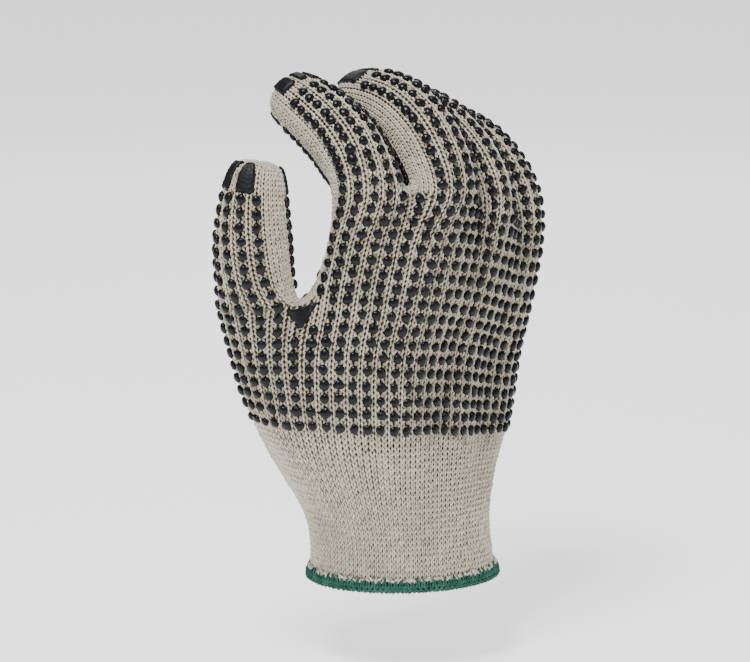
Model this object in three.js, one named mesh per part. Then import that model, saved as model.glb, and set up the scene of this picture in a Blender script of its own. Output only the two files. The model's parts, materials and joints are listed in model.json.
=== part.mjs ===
// A right-hand string-knit work glove with rubbery grip dots, as worn on a half-closed hand:
// the thumb stands up, the fingers curl over towards it and the cuff hangs down.
// Millimetres, Z up from the cuff opening to the fingers, back of the hand towards -Y,
// thumb towards -X. The origin is the middle of the cuff opening.
//
// One control cage runs over the whole hand. Each of the five rays (a finger with its share
// of the palm) has four cage columns on the back and four on the palm, and one more column
// lies between neighbouring rays. The cage is smoothed by Catmull-Clark subdivision.
import * as THREE from 'three';

const KNIT_WALL = 1.9;
const PART_GAP = 0.3;
const RAYS = ['thumb', 'index_finger', 'middle_finger', 'ring_finger', 'little_finger'];
const RAY_COLUMNS = 4;
const RING_COLUMNS = 40;
const HALF_RING = RING_COLUMNS / 2;

// Oval of the cuff at four heights: centre, half width, half depth, turn about Z.
const CUFF_OVALS = [
  { z: 0, x: 0.3, y: 0, half_width: 31.9, half_depth: 21.5, turn: -34 },
  { z: 8, x: -0.3, y: 0, half_width: 31, half_depth: 21, turn: -33 },
  { z: 30, x: -2.5, y: 0, half_width: 31.2, half_depth: 21, turn: -30 },
  { z: 60, x: -8.5, y: 2, half_width: 41.5, half_depth: 26, turn: -15 },
];
// Share of the cuff's girth of one back or palm column of each ray, of a column between
// rays, and of the two columns at the edges of the hand.
const RAY_SHARE = [5 / 3, 5 / 3, 5 / 3, 4 / 3, 4 / 3];
const BETWEEN_SHARE = 1;
const EDGE_SHARE = 1.2;
// Heights over which the oval of the cuff turns into the section of the palm.
const CUFF_TO_PALM = { start: 14, end: 56 };

// Sections of the palm. back and palm: for thumb to little finger, the x and y of the
// surface in the middle of the ray, the way it faces (degrees from -Y) and its half width.
// flat: 1 for a slab, 0 for a round finger. drop: how far the ray sinks below the height z.
const PALM_SECTIONS = [
  {
    z: 45,
    back: [
      [-43.8, 14, -100, 11.6], [-35, -8, -42, 12.2], [-14, -20.5, -4, 12.2],
      [10, -19, 11, 10], [31, -12.5, 20, 10],
    ],
    palm: [
      [-35.5, 30, 25, 7.5], [-25, 31, 5, 8], [-8, 29, -8, 9],
      [12, 24, -20, 9], [30, 13, -35, 9],
    ],
    flat: [0.9, 0.9, 0.9, 0.9, 0.9],
    drop: [0, 0, 2, 5, 8],
  },
  {
    z: 58,
    back: [
      [-49, 14, -90, 11.6], [-38, -9, -42, 12.2], [-15, -20, -4, 12.2],
      [11, -18, 11, 10], [35, -11.5, 20, 10],
    ],
    palm: [
      [-39, 31, 25, 7.5], [-26, 32, 5, 8.5], [-8, 29, -8, 9.5],
      [13, 23, -20, 9.5], [34, 12, -35, 9.5],
    ],
    flat: [0.9, 0.9, 0.9, 0.9, 0.9],
    drop: [0, 0, 2.8, 8, 13],
  },
  {
    z: 87,
    back: [
      [-56.8, 11, -66, 13], [-34.5, -8.5, -40, 12.2], [-7.5, -18.5, -4, 12.2],
      [19.5, -14.5, 12, 10], [43, -8, 22, 10],
    ],
    palm: [
      [-42, 25, 30, 9.5], [-26, 23, 8, 9], [-5, 18, 0, 10],
      [17, 15, -4, 9.5], [38, 11, -15, 9],
    ],
    flat: [0.5, 0.8, 0.8, 0.8, 0.8],
    drop: [2, 0, 4.2, 9.7, 17.5],
  },
  {
    z: 98,
    back: [
      [-60.3, 9, -66, 14.7], [-30.3, -7.4, -48, 12.2], [-6.5, -21, -5, 12.2],
      [19.5, -18, 11, 10], [44, -10.5, 22, 10],
    ],
    palm: [
      [-38.7, 19, -60, 13.5], [-19, 14.5, -10, 9.5], [0, 12, -2, 10],
      [20, 11, 3, 9.5], [40, 12, 0, 9.5],
    ],
    flat: [0.1, 0.75, 0.95, 0.95, 0.85],
    drop: [2, 0, 3.7, 10.5, 19],
  },
  {
    z: 120,
    back: [
      [-60.3, 9, -66, 14.7], [-26, -9.5, -50, 12.2], [0.5, -21.5, -6, 12.2],
      [27, -18.5, 10, 10.2], [51, -10.5, 24, 10],
    ],
    palm: [
      [-38.7, 19, -60, 13.5], [-11, 8, -22, 10], [7, 6, -4, 10],
      [27, 7, 6, 9.3], [46, 13, 14, 9],
    ],
    flat: [0.1, 0.6, 0.92, 0.92, 0.75],
    drop: [2, 0, 3, 9, 17],
  },
  {
    z: 137,
    back: [
      [-60.3, 9, -66, 14.7], [-26.4, -14.6, -38, 11.8], [8.1, -22.8, -5, 12],
      [34.2, -15.6, 10, 10.8], [56.6, -6.5, 22, 10],
    ],
    palm: [
      [-38.7, 19, -60, 13.5], [-11.4, 3.9, -38, 11.8], [10.1, 0.8, -5, 12],
      [30.4, 5.8, 10, 10.8], [49.3, 12, 22, 10],
    ],
    flat: [0.1, 0, 0, 0, 0],
    drop: [2, 0, 4, 10, 17],
  },
];

// Heights of the cage rings: the hand up to the thumb's crotch, then the palm above it.
const HAND_LEVELS = [-1.2, 8, 20, 33, 46, 60, 73, 86, 99];
const KNUCKLE_LEVELS = [110, 122, 135];
const CUFF_ROWS = 4;

// Digits. curl: the way the back of the bending plane faces. lean: tilt from upright at the
// base. Each segment: length, bend towards the palm, half width, half depth and the way the
// back of the knit faces, in degrees.
const DIGITS = {
  thumb: {
    curl: -82,
    lean: -14,
    segments: [
      [6, 5, 12, 12.1, -74], [12, 8, 12.7, 12.6, -82], [12, 8, 11.5, 11.3, -88],
      [9.8, 4, 9.9, 9.6, -90], [6.8, 2, 7.6, 7, -90],
    ],
  },
  index_finger: {
    curl: 0,
    lean: 26,
    segments: [
      [7, 17, 11.8, 11.6, -34], [11, 15, 11.5, 10.7, -30], [12, 9, 11.1, 9.8, -28],
      [10, 4, 10.5, 9, -26], [6.5, 1, 9.6, 8.2, -25], [3.5, 0, 8.1, 6.8, -25],
    ],
  },
  middle_finger: {
    curl: 2,
    lean: 10,
    segments: [
      [7, 12, 12.2, 11.9, -8], [12, 24, 12.3, 11.8, -11], [13, 26, 12.2, 11.4, -12],
      [12, 14, 11.5, 10.4, -13], [10, 7, 10.6, 9.2, -13], [5, 2, 8.8, 7.2, -13],
    ],
  },
  ring_finger: {
    curl: 4,
    lean: 13,
    segments: [
      [7, 20, 10.8, 10.8, 8], [12, 20, 10.7, 10.8, 4], [13, 17, 10.7, 10.6, 2],
      [12, 10, 10.6, 10, 0], [10, 6, 9.8, 8.6, 0], [5, 4, 8, 6.2, 0],
    ],
  },
  little_finger: {
    curl: 5,
    lean: 13,
    segments: [
      [7, 20, 10, 10, 20], [11, 18, 9.8, 9.8, 18], [11, 15, 9.7, 9.7, 16],
      [10, 12, 9.6, 9.2, 15], [8, 8, 9, 8.2, 15], [5, 5, 7.2, 5.8, 15],
    ],
  },
};

// Angles of the four cage columns on one side of a round finger, and how far a ring of
// eight control points must stand out for the smoothed finger to reach its radius.
const ROUND_ANGLES = [157.5, 112.5, 67.5, 22.5];
const ROUND_SWELL = 1 / 0.902;
// The same four columns on a flat palm, in half widths across and out of the surface.
const FLAT_ACROSS = [-0.88, -0.3, 0.3, 0.88];
const FLAT_OUT = [-0.06, 0.04, 0.04, -0.06];

// Solid patches at each fingertip: how many columns across the back each takes, and how
// much its corners towards the tip are cut back. The three lie side by side.
const TIP_PATCHES = [
  { name: 'radial_patch', from: 0.2, to: 1.08, taper_left: 0.1, taper_right: 0.45 },
  { name: 'centre_bar', from: 1.29, to: 1.71, taper_left: 0.06, taper_right: 0.06 },
  { name: 'ulnar_patch', from: 1.92, to: 2.8, taper_left: 0.45, taper_right: 0.1 },
];
const TIP_PATCH_ROWS = { thumb: [3.6, 4.92], fingers: [4.3, 5.9] };
const TAPER_START = 0.55;
const PATCH_LIFT = 0.42;
const CROTCH_PATCH_LIFT = 0.75;
const PATCH_THICKNESS = 0.8;

// Green overlock stitching over the cut edge of the cuff, as a channel round the wall:
// distance out from the knit's face, and height.
const HEM_PROFILE = [
  [0.35, 3.4], [0.35, -0.35], [-KNIT_WALL - 0.35, -0.35], [-KNIT_WALL - 0.35, 2.4],
  [-KNIT_WALL - 1.1, 2.2], [-KNIT_WALL - 1.2, -0.6], [-KNIT_WALL - 0.5, -1.3],
  [0.4, -1.3], [1.15, -0.6], [1.35, 1.3], [0.95, 3.2],
];

const knitMaterial = new THREE.MeshStandardMaterial({ color: 0xd6d0c2, roughness: 0.95, metalness: 0 });
const gripMaterial = new THREE.MeshStandardMaterial({ color: 0x24262b, roughness: 0.4, metalness: 0 });
const hemMaterial = new THREE.MeshStandardMaterial({ color: 0x3f7f70, roughness: 0.9, metalness: 0 });

const radians = (degrees) => (degrees * Math.PI) / 180;

const mix = (a, b, share) => a + (b - a) * share;

const mixPoint = (a, b, share) => a.clone().lerp(b, share);

// Unit vectors of a surface that faces the given way: out of it, and across it from the
// thumb's side to the little finger's.
function facing(turn) {
  const angle = radians(turn);
  return {
    out: new THREE.Vector3(Math.sin(angle), -Math.cos(angle), 0),
    across: new THREE.Vector3(Math.cos(angle), Math.sin(angle), 0),
  };
}

// Smooth curve through the rows of a table, read at the height z.
function readTable(rows, z, value) {
  const last = rows.length - 1;
  if (z <= rows[0].z) return value(rows[0]);
  if (z >= rows[last].z) return value(rows[last]);
  const lower = rows.findLastIndex((row) => row.z <= z);
  const slope = (k) => {
    const before = rows[Math.max(k - 1, 0)];
    const after = rows[Math.min(k + 1, last)];
    return (value(after) - value(before)) / (after.z - before.z);
  };
  const span = rows[lower + 1].z - rows[lower].z;
  const t = (z - rows[lower].z) / span;
  const t2 = t * t;
  const t3 = t2 * t;
  return (2 * t3 - 3 * t2 + 1) * value(rows[lower])
    + (t3 - 2 * t2 + t) * slope(lower) * span
    + (3 * t2 - 2 * t3) * value(rows[lower + 1])
    + (t3 - t2) * slope(lower + 1) * span;
}

// Four cage points across one side of a ray in the palm; side is 1 for the back, -1 for
// the palm.
function palmSide(x, y, z, turn, halfWidth, flat, side) {
  const { out, across } = facing(turn);
  return ROUND_ANGLES.map((degrees, k) => {
    const roundAcross = Math.cos(radians(degrees)) * ROUND_SWELL;
    const roundOut = Math.sin(radians(degrees)) * ROUND_SWELL - 1;
    return new THREE.Vector3(x, y, z)
      .addScaledVector(across, mix(roundAcross, FLAT_ACROSS[k], flat) * halfWidth)
      .addScaledVector(out, mix(roundOut, FLAT_OUT[k], flat) * halfWidth * side);
  });
}

// How far the cage column sinks below its height, smooth from ray to ray.
function columnDrop(column, z) {
  const mirrored = column < HALF_RING ? column : RING_COLUMNS - 1 - column;
  const place = Math.min(Math.max((mirrored - 1.5) / RAY_COLUMNS, 0), RAYS.length - 1);
  const ray = Math.min(Math.floor(place), RAYS.length - 2);
  const drop = (k) => readTable(PALM_SECTIONS, z, (row) => row.drop[k]);
  return mix(drop(ray), drop(ray + 1), place - ray);
}

// The forty points round the hand at the height z, back first, taken from the palm tables.
function palmRing(z) {
  const side = (ray, face, sign) => {
    const entry = (k) => readTable(PALM_SECTIONS, z, (row) => row[face][ray][k]);
    const flat = readTable(PALM_SECTIONS, z, (row) => row.flat[ray]);
    return palmSide(entry(0), entry(1), z, entry(2), entry(3), flat, sign);
  };
  const back = RAYS.flatMap((name, ray) => side(ray, 'back', 1));
  const palm = RAYS.flatMap((name, ray) => side(ray, 'palm', -1)).reverse();
  return [...back, ...palm];
}

// Shares of the girth of the forty columns of the cuff.
function girthShares() {
  const back = RAYS.flatMap((name, ray) => {
    const own = [RAY_SHARE[ray], RAY_SHARE[ray], RAY_SHARE[ray]];
    return ray < RAYS.length - 1 ? [...own, BETWEEN_SHARE] : own;
  });
  return [...back, EDGE_SHARE, ...[...back].reverse(), EDGE_SHARE];
}

// The forty points round the cuff's oval at the height z, spread by their shares.
function cuffRing(z) {
  const read = (key) => readTable(CUFF_OVALS, z, (row) => row[key]);
  const { out, across } = facing(read('turn'));
  const steps = 720;
  const oval = Array.from({ length: steps + 1 }, (_, k) => {
    const angle = Math.PI - (2 * Math.PI * k) / steps;
    return [Math.cos(angle) * read('half_width'), Math.sin(angle) * read('half_depth')];
  });
  const run = [0];
  for (let k = 1; k <= steps; k += 1) {
    run.push(run[k - 1] + Math.hypot(oval[k][0] - oval[k - 1][0], oval[k][1] - oval[k - 1][1]));
  }
  const shares = girthShares();
  const total = shares.reduce((sum, share) => sum + share, 0);
  let passed = EDGE_SHARE / 2;
  return shares.map((share) => {
    const target = (passed / total) * run[steps];
    passed += share;
    const k = Math.min(run.findLastIndex((length) => length <= target), steps - 1);
    const t = (target - run[k]) / (run[k + 1] - run[k]);
    return new THREE.Vector3(read('x'), read('y'), z)
      .addScaledVector(across, mix(oval[k][0], oval[k + 1][0], t))
      .addScaledVector(out, mix(oval[k][1], oval[k + 1][1], t));
  });
}

// One cage ring: oval at the cuff, the palm's section above, sunk column by column.
function cageRing(z) {
  const share = THREE.MathUtils.smoothstep(z, CUFF_TO_PALM.start, CUFF_TO_PALM.end);
  const palm = palmRing(z);
  return cuffRing(z).map((point, column) => {
    const placed = mixPoint(point, palm[column], share);
    placed.z -= columnDrop(column, z) * share;
    return placed;
  });
}

// The cage under construction: points, faces and, for each face, its part, row and column.
function newCage() {
  return { points: [], faces: [], places: [] };
}

function addRing(cage, points) {
  const first = cage.points.length;
  cage.points.push(...points);
  return points.map((_, k) => first + k);
}

function addBand(cage, lower, upper, part, row) {
  lower.forEach((_, k) => {
    const next = (k + 1) % lower.length;
    cage.faces.push([lower[k], lower[next], upper[next], upper[k]]);
    cage.places.push({ part, row, column: k });
  });
}

function addFace(cage, corners, part, row, column) {
  cage.faces.push(corners);
  cage.places.push({ part, row, column });
}

// Eight points round a digit, from the radial edge of its back over to the palm.
function digitRing(centre, across, out, halfWidth, halfDepth) {
  const point = (degrees, side) => centre.clone()
    .addScaledVector(across, Math.cos(radians(degrees)) * ROUND_SWELL * halfWidth)
    .addScaledVector(out, Math.sin(radians(degrees)) * ROUND_SWELL * halfDepth * side);
  const back = ROUND_ANGLES.map((degrees) => point(degrees, 1));
  const palm = ROUND_ANGLES.map((degrees) => point(degrees, -1)).reverse();
  return [...back, ...palm];
}

// A digit grows ring by ring from its base and is closed by three faces at the tip.
function addDigit(cage, name, base, start) {
  const { curl, lean, segments } = DIGITS[name];
  const plane = facing(curl);
  const up = new THREE.Vector3(0, 0, 1);
  const centre = start.clone();
  let tilt = lean;
  let below = base;
  segments.forEach(([length, bend, halfWidth, halfDepth, turn], row) => {
    tilt += bend / 2;
    centre.addScaledVector(up, Math.cos(radians(tilt)) * length);
    centre.addScaledVector(plane.out, -Math.sin(radians(tilt)) * length);
    tilt += bend / 2;
    const back = plane.out.clone().multiplyScalar(Math.cos(radians(tilt)));
    back.addScaledVector(up, Math.sin(radians(tilt)));
    const roll = radians(turn - curl);
    const out = back.clone().multiplyScalar(Math.cos(roll));
    out.addScaledVector(plane.across, Math.sin(roll));
    const across = plane.across.clone().multiplyScalar(Math.cos(roll));
    across.addScaledVector(back, -Math.sin(roll));
    const ring = addRing(cage, digitRing(centre, across, out, halfWidth, halfDepth));
    addBand(cage, below, ring, name, row);
    below = ring;
  });
  [[0, 1, 6, 7], [1, 2, 5, 6], [2, 3, 4, 5]].forEach((corners, k) => {
    addFace(cage, corners.map((c) => below[c]), name, segments.length, k);
  });
}

// Middle of a ray at the height z, halfway between back and palm.
function rayCentre(z, ray) {
  const read = (value) => readTable(PALM_SECTIONS, z, value);
  const middle = (k) => read((row) => (row.back[ray][k] + row.palm[ray][k]) / 2);
  return new THREE.Vector3(middle(0), middle(1), z - read((row) => row.drop[ray]));
}

// The eight points of one ray out of a ring that goes round the whole hand.
function raySlice(ring, ray) {
  const back = ring.slice(ray * RAY_COLUMNS, (ray + 1) * RAY_COLUMNS);
  const palmEnd = ring.length - ray * RAY_COLUMNS;
  return [...back, ...ring.slice(palmEnd - RAY_COLUMNS, palmEnd)];
}

// The small face at the bottom of the gap between two neighbouring rays.
function addCrotch(cage, ring, ray) {
  const last = (ray + 1) * RAY_COLUMNS - 1;
  const opposite = ring.length - 1 - last;
  addFace(cage, [ring[last], ring[last + 1], ring[opposite - 1], ring[opposite]], 'crotch', 0, ray);
}

// The whole cage: hand, thumb, knuckles, fingers.
function buildCage() {
  const cage = newCage();
  let below = null;
  HAND_LEVELS.forEach((z, level) => {
    const ring = addRing(cage, cageRing(z));
    if (below) addBand(cage, below, ring, 'hand', level - 1);
    below = ring;
  });
  const thumbLevel = HAND_LEVELS[HAND_LEVELS.length - 1];
  addCrotch(cage, below, 0);
  addDigit(cage, 'thumb', raySlice(below, 0), rayCentre(thumbLevel, 0));
  below = below.slice(RAY_COLUMNS, RING_COLUMNS - RAY_COLUMNS);
  KNUCKLE_LEVELS.forEach((z, row) => {
    const ring = addRing(cage, cageRing(z).slice(RAY_COLUMNS, RING_COLUMNS - RAY_COLUMNS));
    addBand(cage, below, ring, 'knuckles', row);
    below = ring;
  });
  const fingerLevel = KNUCKLE_LEVELS[KNUCKLE_LEVELS.length - 1];
  RAYS.slice(1).forEach((name, finger) => {
    addDigit(cage, name, raySlice(below, finger), rayCentre(fingerLevel, finger + 1));
    if (finger < RAYS.length - 2) addCrotch(cage, below, finger);
  });
  return cage;
}

const edgeKey = (a, b) => (a < b ? `${a}_${b}` : `${b}_${a}`);

// Faces and edges round each point of a mesh of four-sided faces.
function neighbourhood(points, faces) {
  const edges = new Map();
  const around = points.map(() => ({ faces: [], ends: new Set(), rim: [] }));
  faces.forEach((face, f) => {
    face.forEach((a, k) => {
      const b = face[(k + 1) % 4];
      const key = edgeKey(a, b);
      if (!edges.has(key)) edges.set(key, { ends: [a, b], faces: [] });
      edges.get(key).faces.push(f);
      around[a].faces.push(f);
      around[a].ends.add(b);
      around[b].ends.add(a);
    });
  });
  edges.forEach(({ ends: [a, b], faces: sides }) => {
    if (sides.length > 1) return;
    around[a].rim.push(b);
    around[b].rim.push(a);
  });
  return { edges, around };
}

function average(points, ids) {
  const sum = new THREE.Vector3();
  ids.forEach((id) => sum.add(points[id]));
  return sum.divideScalar(ids.length);
}

// One step of Catmull-Clark subdivision. The children of each face keep its corner order.
function subdivide({ points, faces }) {
  const { edges, around } = neighbourhood(points, faces);
  const centres = faces.map((face) => average(points, face));
  const moved = points.map((point, id) => {
    const { faces: sides, ends, rim } = around[id];
    if (rim.length) return mixPoint(point, average(points, rim), 0.25);
    const n = sides.length;
    const middles = [...ends].map((end) => mixPoint(point, points[end], 0.5));
    const edgePart = middles.reduce((sum, middle) => sum.add(middle), new THREE.Vector3());
    const facePart = sides.reduce((sum, f) => sum.add(centres[f]), new THREE.Vector3());
    return facePart.divideScalar(n * n)
      .addScaledVector(edgePart, 2 / (n * n))
      .addScaledVector(point, (n - 3) / n);
  });
  const result = [...moved];
  const edgeIds = new Map();
  edges.forEach(({ ends: [a, b], faces: sides }, key) => {
    const middle = mixPoint(points[a], points[b], 0.5);
    if (sides.length === 2) middle.lerp(mixPoint(centres[sides[0]], centres[sides[1]], 0.5), 0.5);
    edgeIds.set(key, result.length);
    result.push(middle);
  });
  const finer = [];
  faces.forEach((face, f) => {
    const centre = result.length;
    result.push(centres[f]);
    const edge = face.map((a, k) => edgeIds.get(edgeKey(a, face[(k + 1) % 4])));
    finer.push([face[0], edge[0], centre, edge[3]], [edge[0], face[1], edge[1], centre]);
    finer.push([centre, edge[1], face[2], edge[2]], [edge[3], centre, edge[2], face[3]]);
  });
  return { points: result, faces: finer };
}

// Points moved to where endless subdivision would take them, with their normals.
function limitSurface({ points, faces }) {
  const { around } = neighbourhood(points, faces);
  const placed = points.map((point, id) => {
    const { faces: sides, ends, rim } = around[id];
    if (rim.length) return mixPoint(point, average(points, rim), 1 / 3);
    const n = sides.length;
    const sum = point.clone().multiplyScalar(n * n);
    ends.forEach((end) => sum.addScaledVector(points[end], 4));
    sides.forEach((f) => {
      const corner = faces[f].indexOf(id);
      sum.add(points[faces[f][(corner + 2) % 4]]);
    });
    return sum.divideScalar(n * (n + 5));
  });
  const normals = points.map(() => new THREE.Vector3());
  faces.forEach((face) => {
    const [a, b, c, d] = face.map((id) => placed[id]);
    const normal = c.clone().sub(a).cross(d.clone().sub(b));
    face.forEach((id) => normals[id].add(normal));
  });
  normals.forEach((normal) => normal.normalize());
  return { points: placed, normals };
}

// The point of the subdivided mesh halfway along an edge of a cage face.
const edgeMiddle = (fine, f, k) => fine.faces[4 * f + k][(k + 1) % 4];

// Triangles gathered into one closed mesh; equal keys share a point.
function newShell() {
  const ids = new Map();
  const positions = [];
  const triangles = [];
  const vertex = (key, point) => {
    if (!ids.has(key)) {
      ids.set(key, ids.size);
      positions.push(point.x, point.y, point.z);
    }
    return ids.get(key);
  };
  const quad = (a, b, c, d) => triangles.push(a, b, c, a, c, d);
  const triangle = (a, b, c) => triangles.push(a, b, c);
  return { vertex, quad, triangle, positions, triangles };
}

function shellMesh(shell, name, material) {
  const geometry = new THREE.BufferGeometry();
  geometry.setAttribute('position', new THREE.Float32BufferAttribute(shell.positions, 3));
  geometry.setIndex(shell.triangles);
  geometry.computeVertexNormals();
  const mesh = new THREE.Mesh(geometry, material);
  mesh.name = name;
  return mesh;
}

// A piece of the knit: its outer face once subdivided, its inner face one wall further in
// on the cage's own faces, and a rim along every open edge. Points on the edges listed in
// pulled are drawn back a little so that neighbouring pieces stay apart.
function knitPiece(name, surface, chosen) {
  const { cage, fine, outer, inner } = surface;
  const faces = cage.faces.map((_, f) => f).filter((f) => chosen(cage.places[f]));
  const count = new Map();
  faces.forEach((f) => cage.faces[f].forEach((a, k) => {
    const key = edgeKey(a, cage.faces[f][(k + 1) % 4]);
    count.set(key, (count.get(key) ?? 0) + 1);
  }));
  const open = (a, b) => count.get(edgeKey(a, b)) === 1;
  const onRim = new Set();
  faces.forEach((f) => cage.faces[f].forEach((a, k) => {
    const b = cage.faces[f][(k + 1) % 4];
    if (open(a, b)) [a, b].forEach((id) => onRim.add(id));
  }));
  const inward = pullDirections(surface, faces, open, onRim);
  const shell = newShell();
  const outerId = (id) => shell.vertex(`o${id}`, drawnBack(outer.points[id], inward.outer.get(id)));
  const innerId = (id) => shell.vertex(`i${id}`, drawnBack(inner[id], inward.inner.get(id)));
  faces.forEach((f) => {
    for (let child = 0; child < 4; child += 1) {
      shell.quad(...fine.faces[4 * f + child].map(outerId));
    }
    shell.quad(...[...cage.faces[f]].reverse().map(innerId));
    cage.faces[f].forEach((a, k) => {
      const b = cage.faces[f][(k + 1) % 4];
      if (!open(a, b)) return;
      const middle = outerId(edgeMiddle(fine, f, k));
      shell.triangle(middle, outerId(a), innerId(a));
      shell.triangle(middle, innerId(a), innerId(b));
      shell.triangle(outerId(b), middle, innerId(b));
    });
  });
  return shellMesh(shell, name, knitMaterial);
}

function drawnBack(point, direction) {
  if (!direction) return point;
  return point.clone().addScaledVector(direction.clone().normalize(), PART_GAP / 2);
}

// For every point on an open edge, the way into the piece, on the outer and inner face.
function pullDirections({ cage, fine, outer, inner }, faces, open, onRim) {
  const directions = { outer: new Map(), inner: new Map() };
  const add = (map, id, from, to) => {
    if (!map.has(id)) map.set(id, new THREE.Vector3());
    map.get(id).add(to.clone().sub(from).normalize());
  };
  faces.forEach((f) => {
    const face = cage.faces[f];
    face.forEach((a, k) => {
      const next = (k + 1) % 4;
      const b = face[next];
      if (!open(a, b)) return;
      const before = face[(k + 3) % 4];
      const after = face[(k + 2) % 4];
      const middle = edgeMiddle(fine, f, k);
      const centre = fine.faces[4 * f][2];
      add(directions.inner, a, inner[a], inner[before]);
      add(directions.inner, b, inner[b], inner[after]);
      add(directions.outer, middle, outer.points[middle], outer.points[centre]);
      if (onRim.has(a)) add(directions.outer, a, outer.points[a], outer.points[before]);
      if (onRim.has(b)) add(directions.outer, b, outer.points[b], outer.points[after]);
    });
  });
  return directions;
}

// Points of the outer face by part, row and column, with fractions in between.
function surfaceReader({ cage, fine, outer }, part, columns) {
  const faceAt = new Map();
  cage.places.forEach((place, f) => {
    if (place.part === part) faceAt.set(`${place.row}_${place.column}`, f);
  });
  const corner = (f, u, v) => {
    const children = fine.faces.slice(4 * f, 4 * f + 4);
    const grid = [
      [children[0][0], children[0][1], children[1][1]],
      [children[0][3], children[0][2], children[1][2]],
      [children[3][3], children[2][3], children[2][2]],
    ];
    return grid[v][u];
  };
  return (column, row) => {
    const k = Math.floor(column);
    const r = Math.floor(row);
    const f = faceAt.get(`${r}_${((k % columns) + columns) % columns}`);
    const u = (column - k) * 2;
    const v = (row - r) * 2;
    const iu = Math.min(Math.floor(u), 1);
    const iv = Math.min(Math.floor(v), 1);
    const side = (list, du) => (
      mixPoint(list[corner(f, iu + du, iv)], list[corner(f, iu + du, iv + 1)], v - iv));
    return {
      point: mixPoint(side(outer.points, 0), side(outer.points, 1), u - iu),
      normal: mixPoint(side(outer.normals, 0), side(outer.normals, 1), u - iu).normalize(),
    };
  };
}

// A thin raised patch over a grid of places on the surface.
function patchMesh(name, rows, read, lift) {
  const shell = newShell();
  const last = rows.length - 1;
  const width = rows[0].length - 1;
  const id = (i, j, height) => {
    const { point, normal } = read(rows[i][j][0], rows[i][j][1]);
    return shell.vertex(`${i}_${j}_${height}`, point.addScaledVector(normal, height));
  };
  const low = lift;
  const high = lift + PATCH_THICKNESS;
  for (let i = 0; i < last; i += 1) {
    for (let j = 0; j < width; j += 1) {
      shell.quad(id(i, j, high), id(i, j + 1, high), id(i + 1, j + 1, high), id(i + 1, j, high));
      shell.quad(id(i, j, low), id(i + 1, j, low), id(i + 1, j + 1, low), id(i, j + 1, low));
    }
    shell.quad(id(i, 0, low), id(i, 0, high), id(i + 1, 0, high), id(i + 1, 0, low));
    shell.quad(id(i, width, high), id(i, width, low), id(i + 1, width, low), id(i + 1, width, high));
  }
  for (let j = 0; j < width; j += 1) {
    shell.quad(id(0, j, low), id(0, j + 1, low), id(0, j + 1, high), id(0, j, high));
    shell.quad(id(last, j, high), id(last, j + 1, high), id(last, j + 1, low), id(last, j, low));
  }
  return shellMesh(shell, name, gripMaterial);
}

// The three patches on the back or the palm of a digit's tip.
function tipPatches(surface, digit, face) {
  const read = surfaceReader(surface, digit, 8);
  const [start, end] = digit === 'thumb' ? TIP_PATCH_ROWS.thumb : TIP_PATCH_ROWS.fingers;
  const columnOf = (across) => (face === 'back' ? across : 7 - across);
  const steps = [0, 0.3, 0.6, 0.82, 1];
  return TIP_PATCHES.map((patch) => {
    const rows = steps.map((step) => {
      const cut = Math.max(0, step - TAPER_START) / (1 - TAPER_START);
      const width = patch.to - patch.from;
      const left = patch.from + patch.taper_left * width * cut ** 1.5;
      const right = patch.to - patch.taper_right * width * cut ** 1.5;
      const row = [0, 1 / 3, 2 / 3, 1].map((share) => (
        [columnOf(mix(left, right, share)), mix(start, end, step)]));
      return face === 'back' ? row : row.reverse();
    });
    return patchMesh(`${digit}_${face}_${patch.name}`, rows, read, PATCH_LIFT);
  });
}

// The triangular patch under the thumb's crotch, point down, on the back or the palm.
function crotchPatch(surface, face) {
  const read = surfaceReader(surface, 'hand', RING_COLUMNS);
  const columnOf = (across) => (face === 'back' ? across : RING_COLUMNS - 1 - across);
  const outline = [[7.3, 3.68, 3.82], [7.5, 3.34, 3.98], [7.7, 3.1, 4.14], [7.9, 2.9, 4.3]];
  const rows = outline.map(([row, left, right]) => {
    const places = [0, 1 / 3, 2 / 3, 1].map((share) => [columnOf(mix(left, right, share)), row]);
    return face === 'back' ? places : places.reverse();
  });
  return patchMesh(`thumb_crotch_${face}_patch`, rows, read, CROTCH_PATCH_LIFT);
}

// The overlocked hem: a channel profile swept round the cuff's lower edge.
function hemMesh({ fine, cage, outer }) {
  const lowest = cage.faces.map((_, f) => f).filter((f) => {
    const { part, row } = cage.places[f];
    return part === 'hand' && row === 0;
  });
  const rim = lowest.flatMap((f) => fine.faces[4 * f].slice(0, 2));
  const above = lowest.flatMap((f) => fine.faces[4 * f].slice(2).reverse());
  const shell = newShell();
  const count = HEM_PROFILE.length;
  const rings = rim.map((id, k) => {
    const before = outer.points[rim[(k + rim.length - 1) % rim.length]];
    const after = outer.points[rim[(k + 1) % rim.length]];
    const along = after.clone().sub(before).setZ(0).normalize();
    const out = new THREE.Vector3(along.y, -along.x, 0);
    const wall = outer.points[above[k]].clone().sub(outer.points[id]);
    return HEM_PROFILE.map(([reach, height], p) => {
      const point = outer.points[id].clone().addScaledVector(out, reach);
      point.addScaledVector(wall, height / wall.z);
      return shell.vertex(`${k}_${p}`, point);
    });
  });
  rings.forEach((ring, k) => {
    const next = rings[(k + 1) % rings.length];
    for (let p = 0; p < count; p += 1) {
      const q = (p + 1) % count;
      shell.quad(ring[p], next[p], next[q], ring[q]);
    }
  });
  return shellMesh(shell, 'cuff_hem', hemMaterial);
}

function buildSurface() {
  const cage = buildCage();
  const fine = subdivide(cage);
  const outer = limitSurface(fine);
  const coarse = limitSurface(cage);
  const inner = coarse.points.map((point, id) => (
    point.clone().addScaledVector(coarse.normals[id], -KNIT_WALL)));
  return { cage, fine, outer, inner };
}

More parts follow.
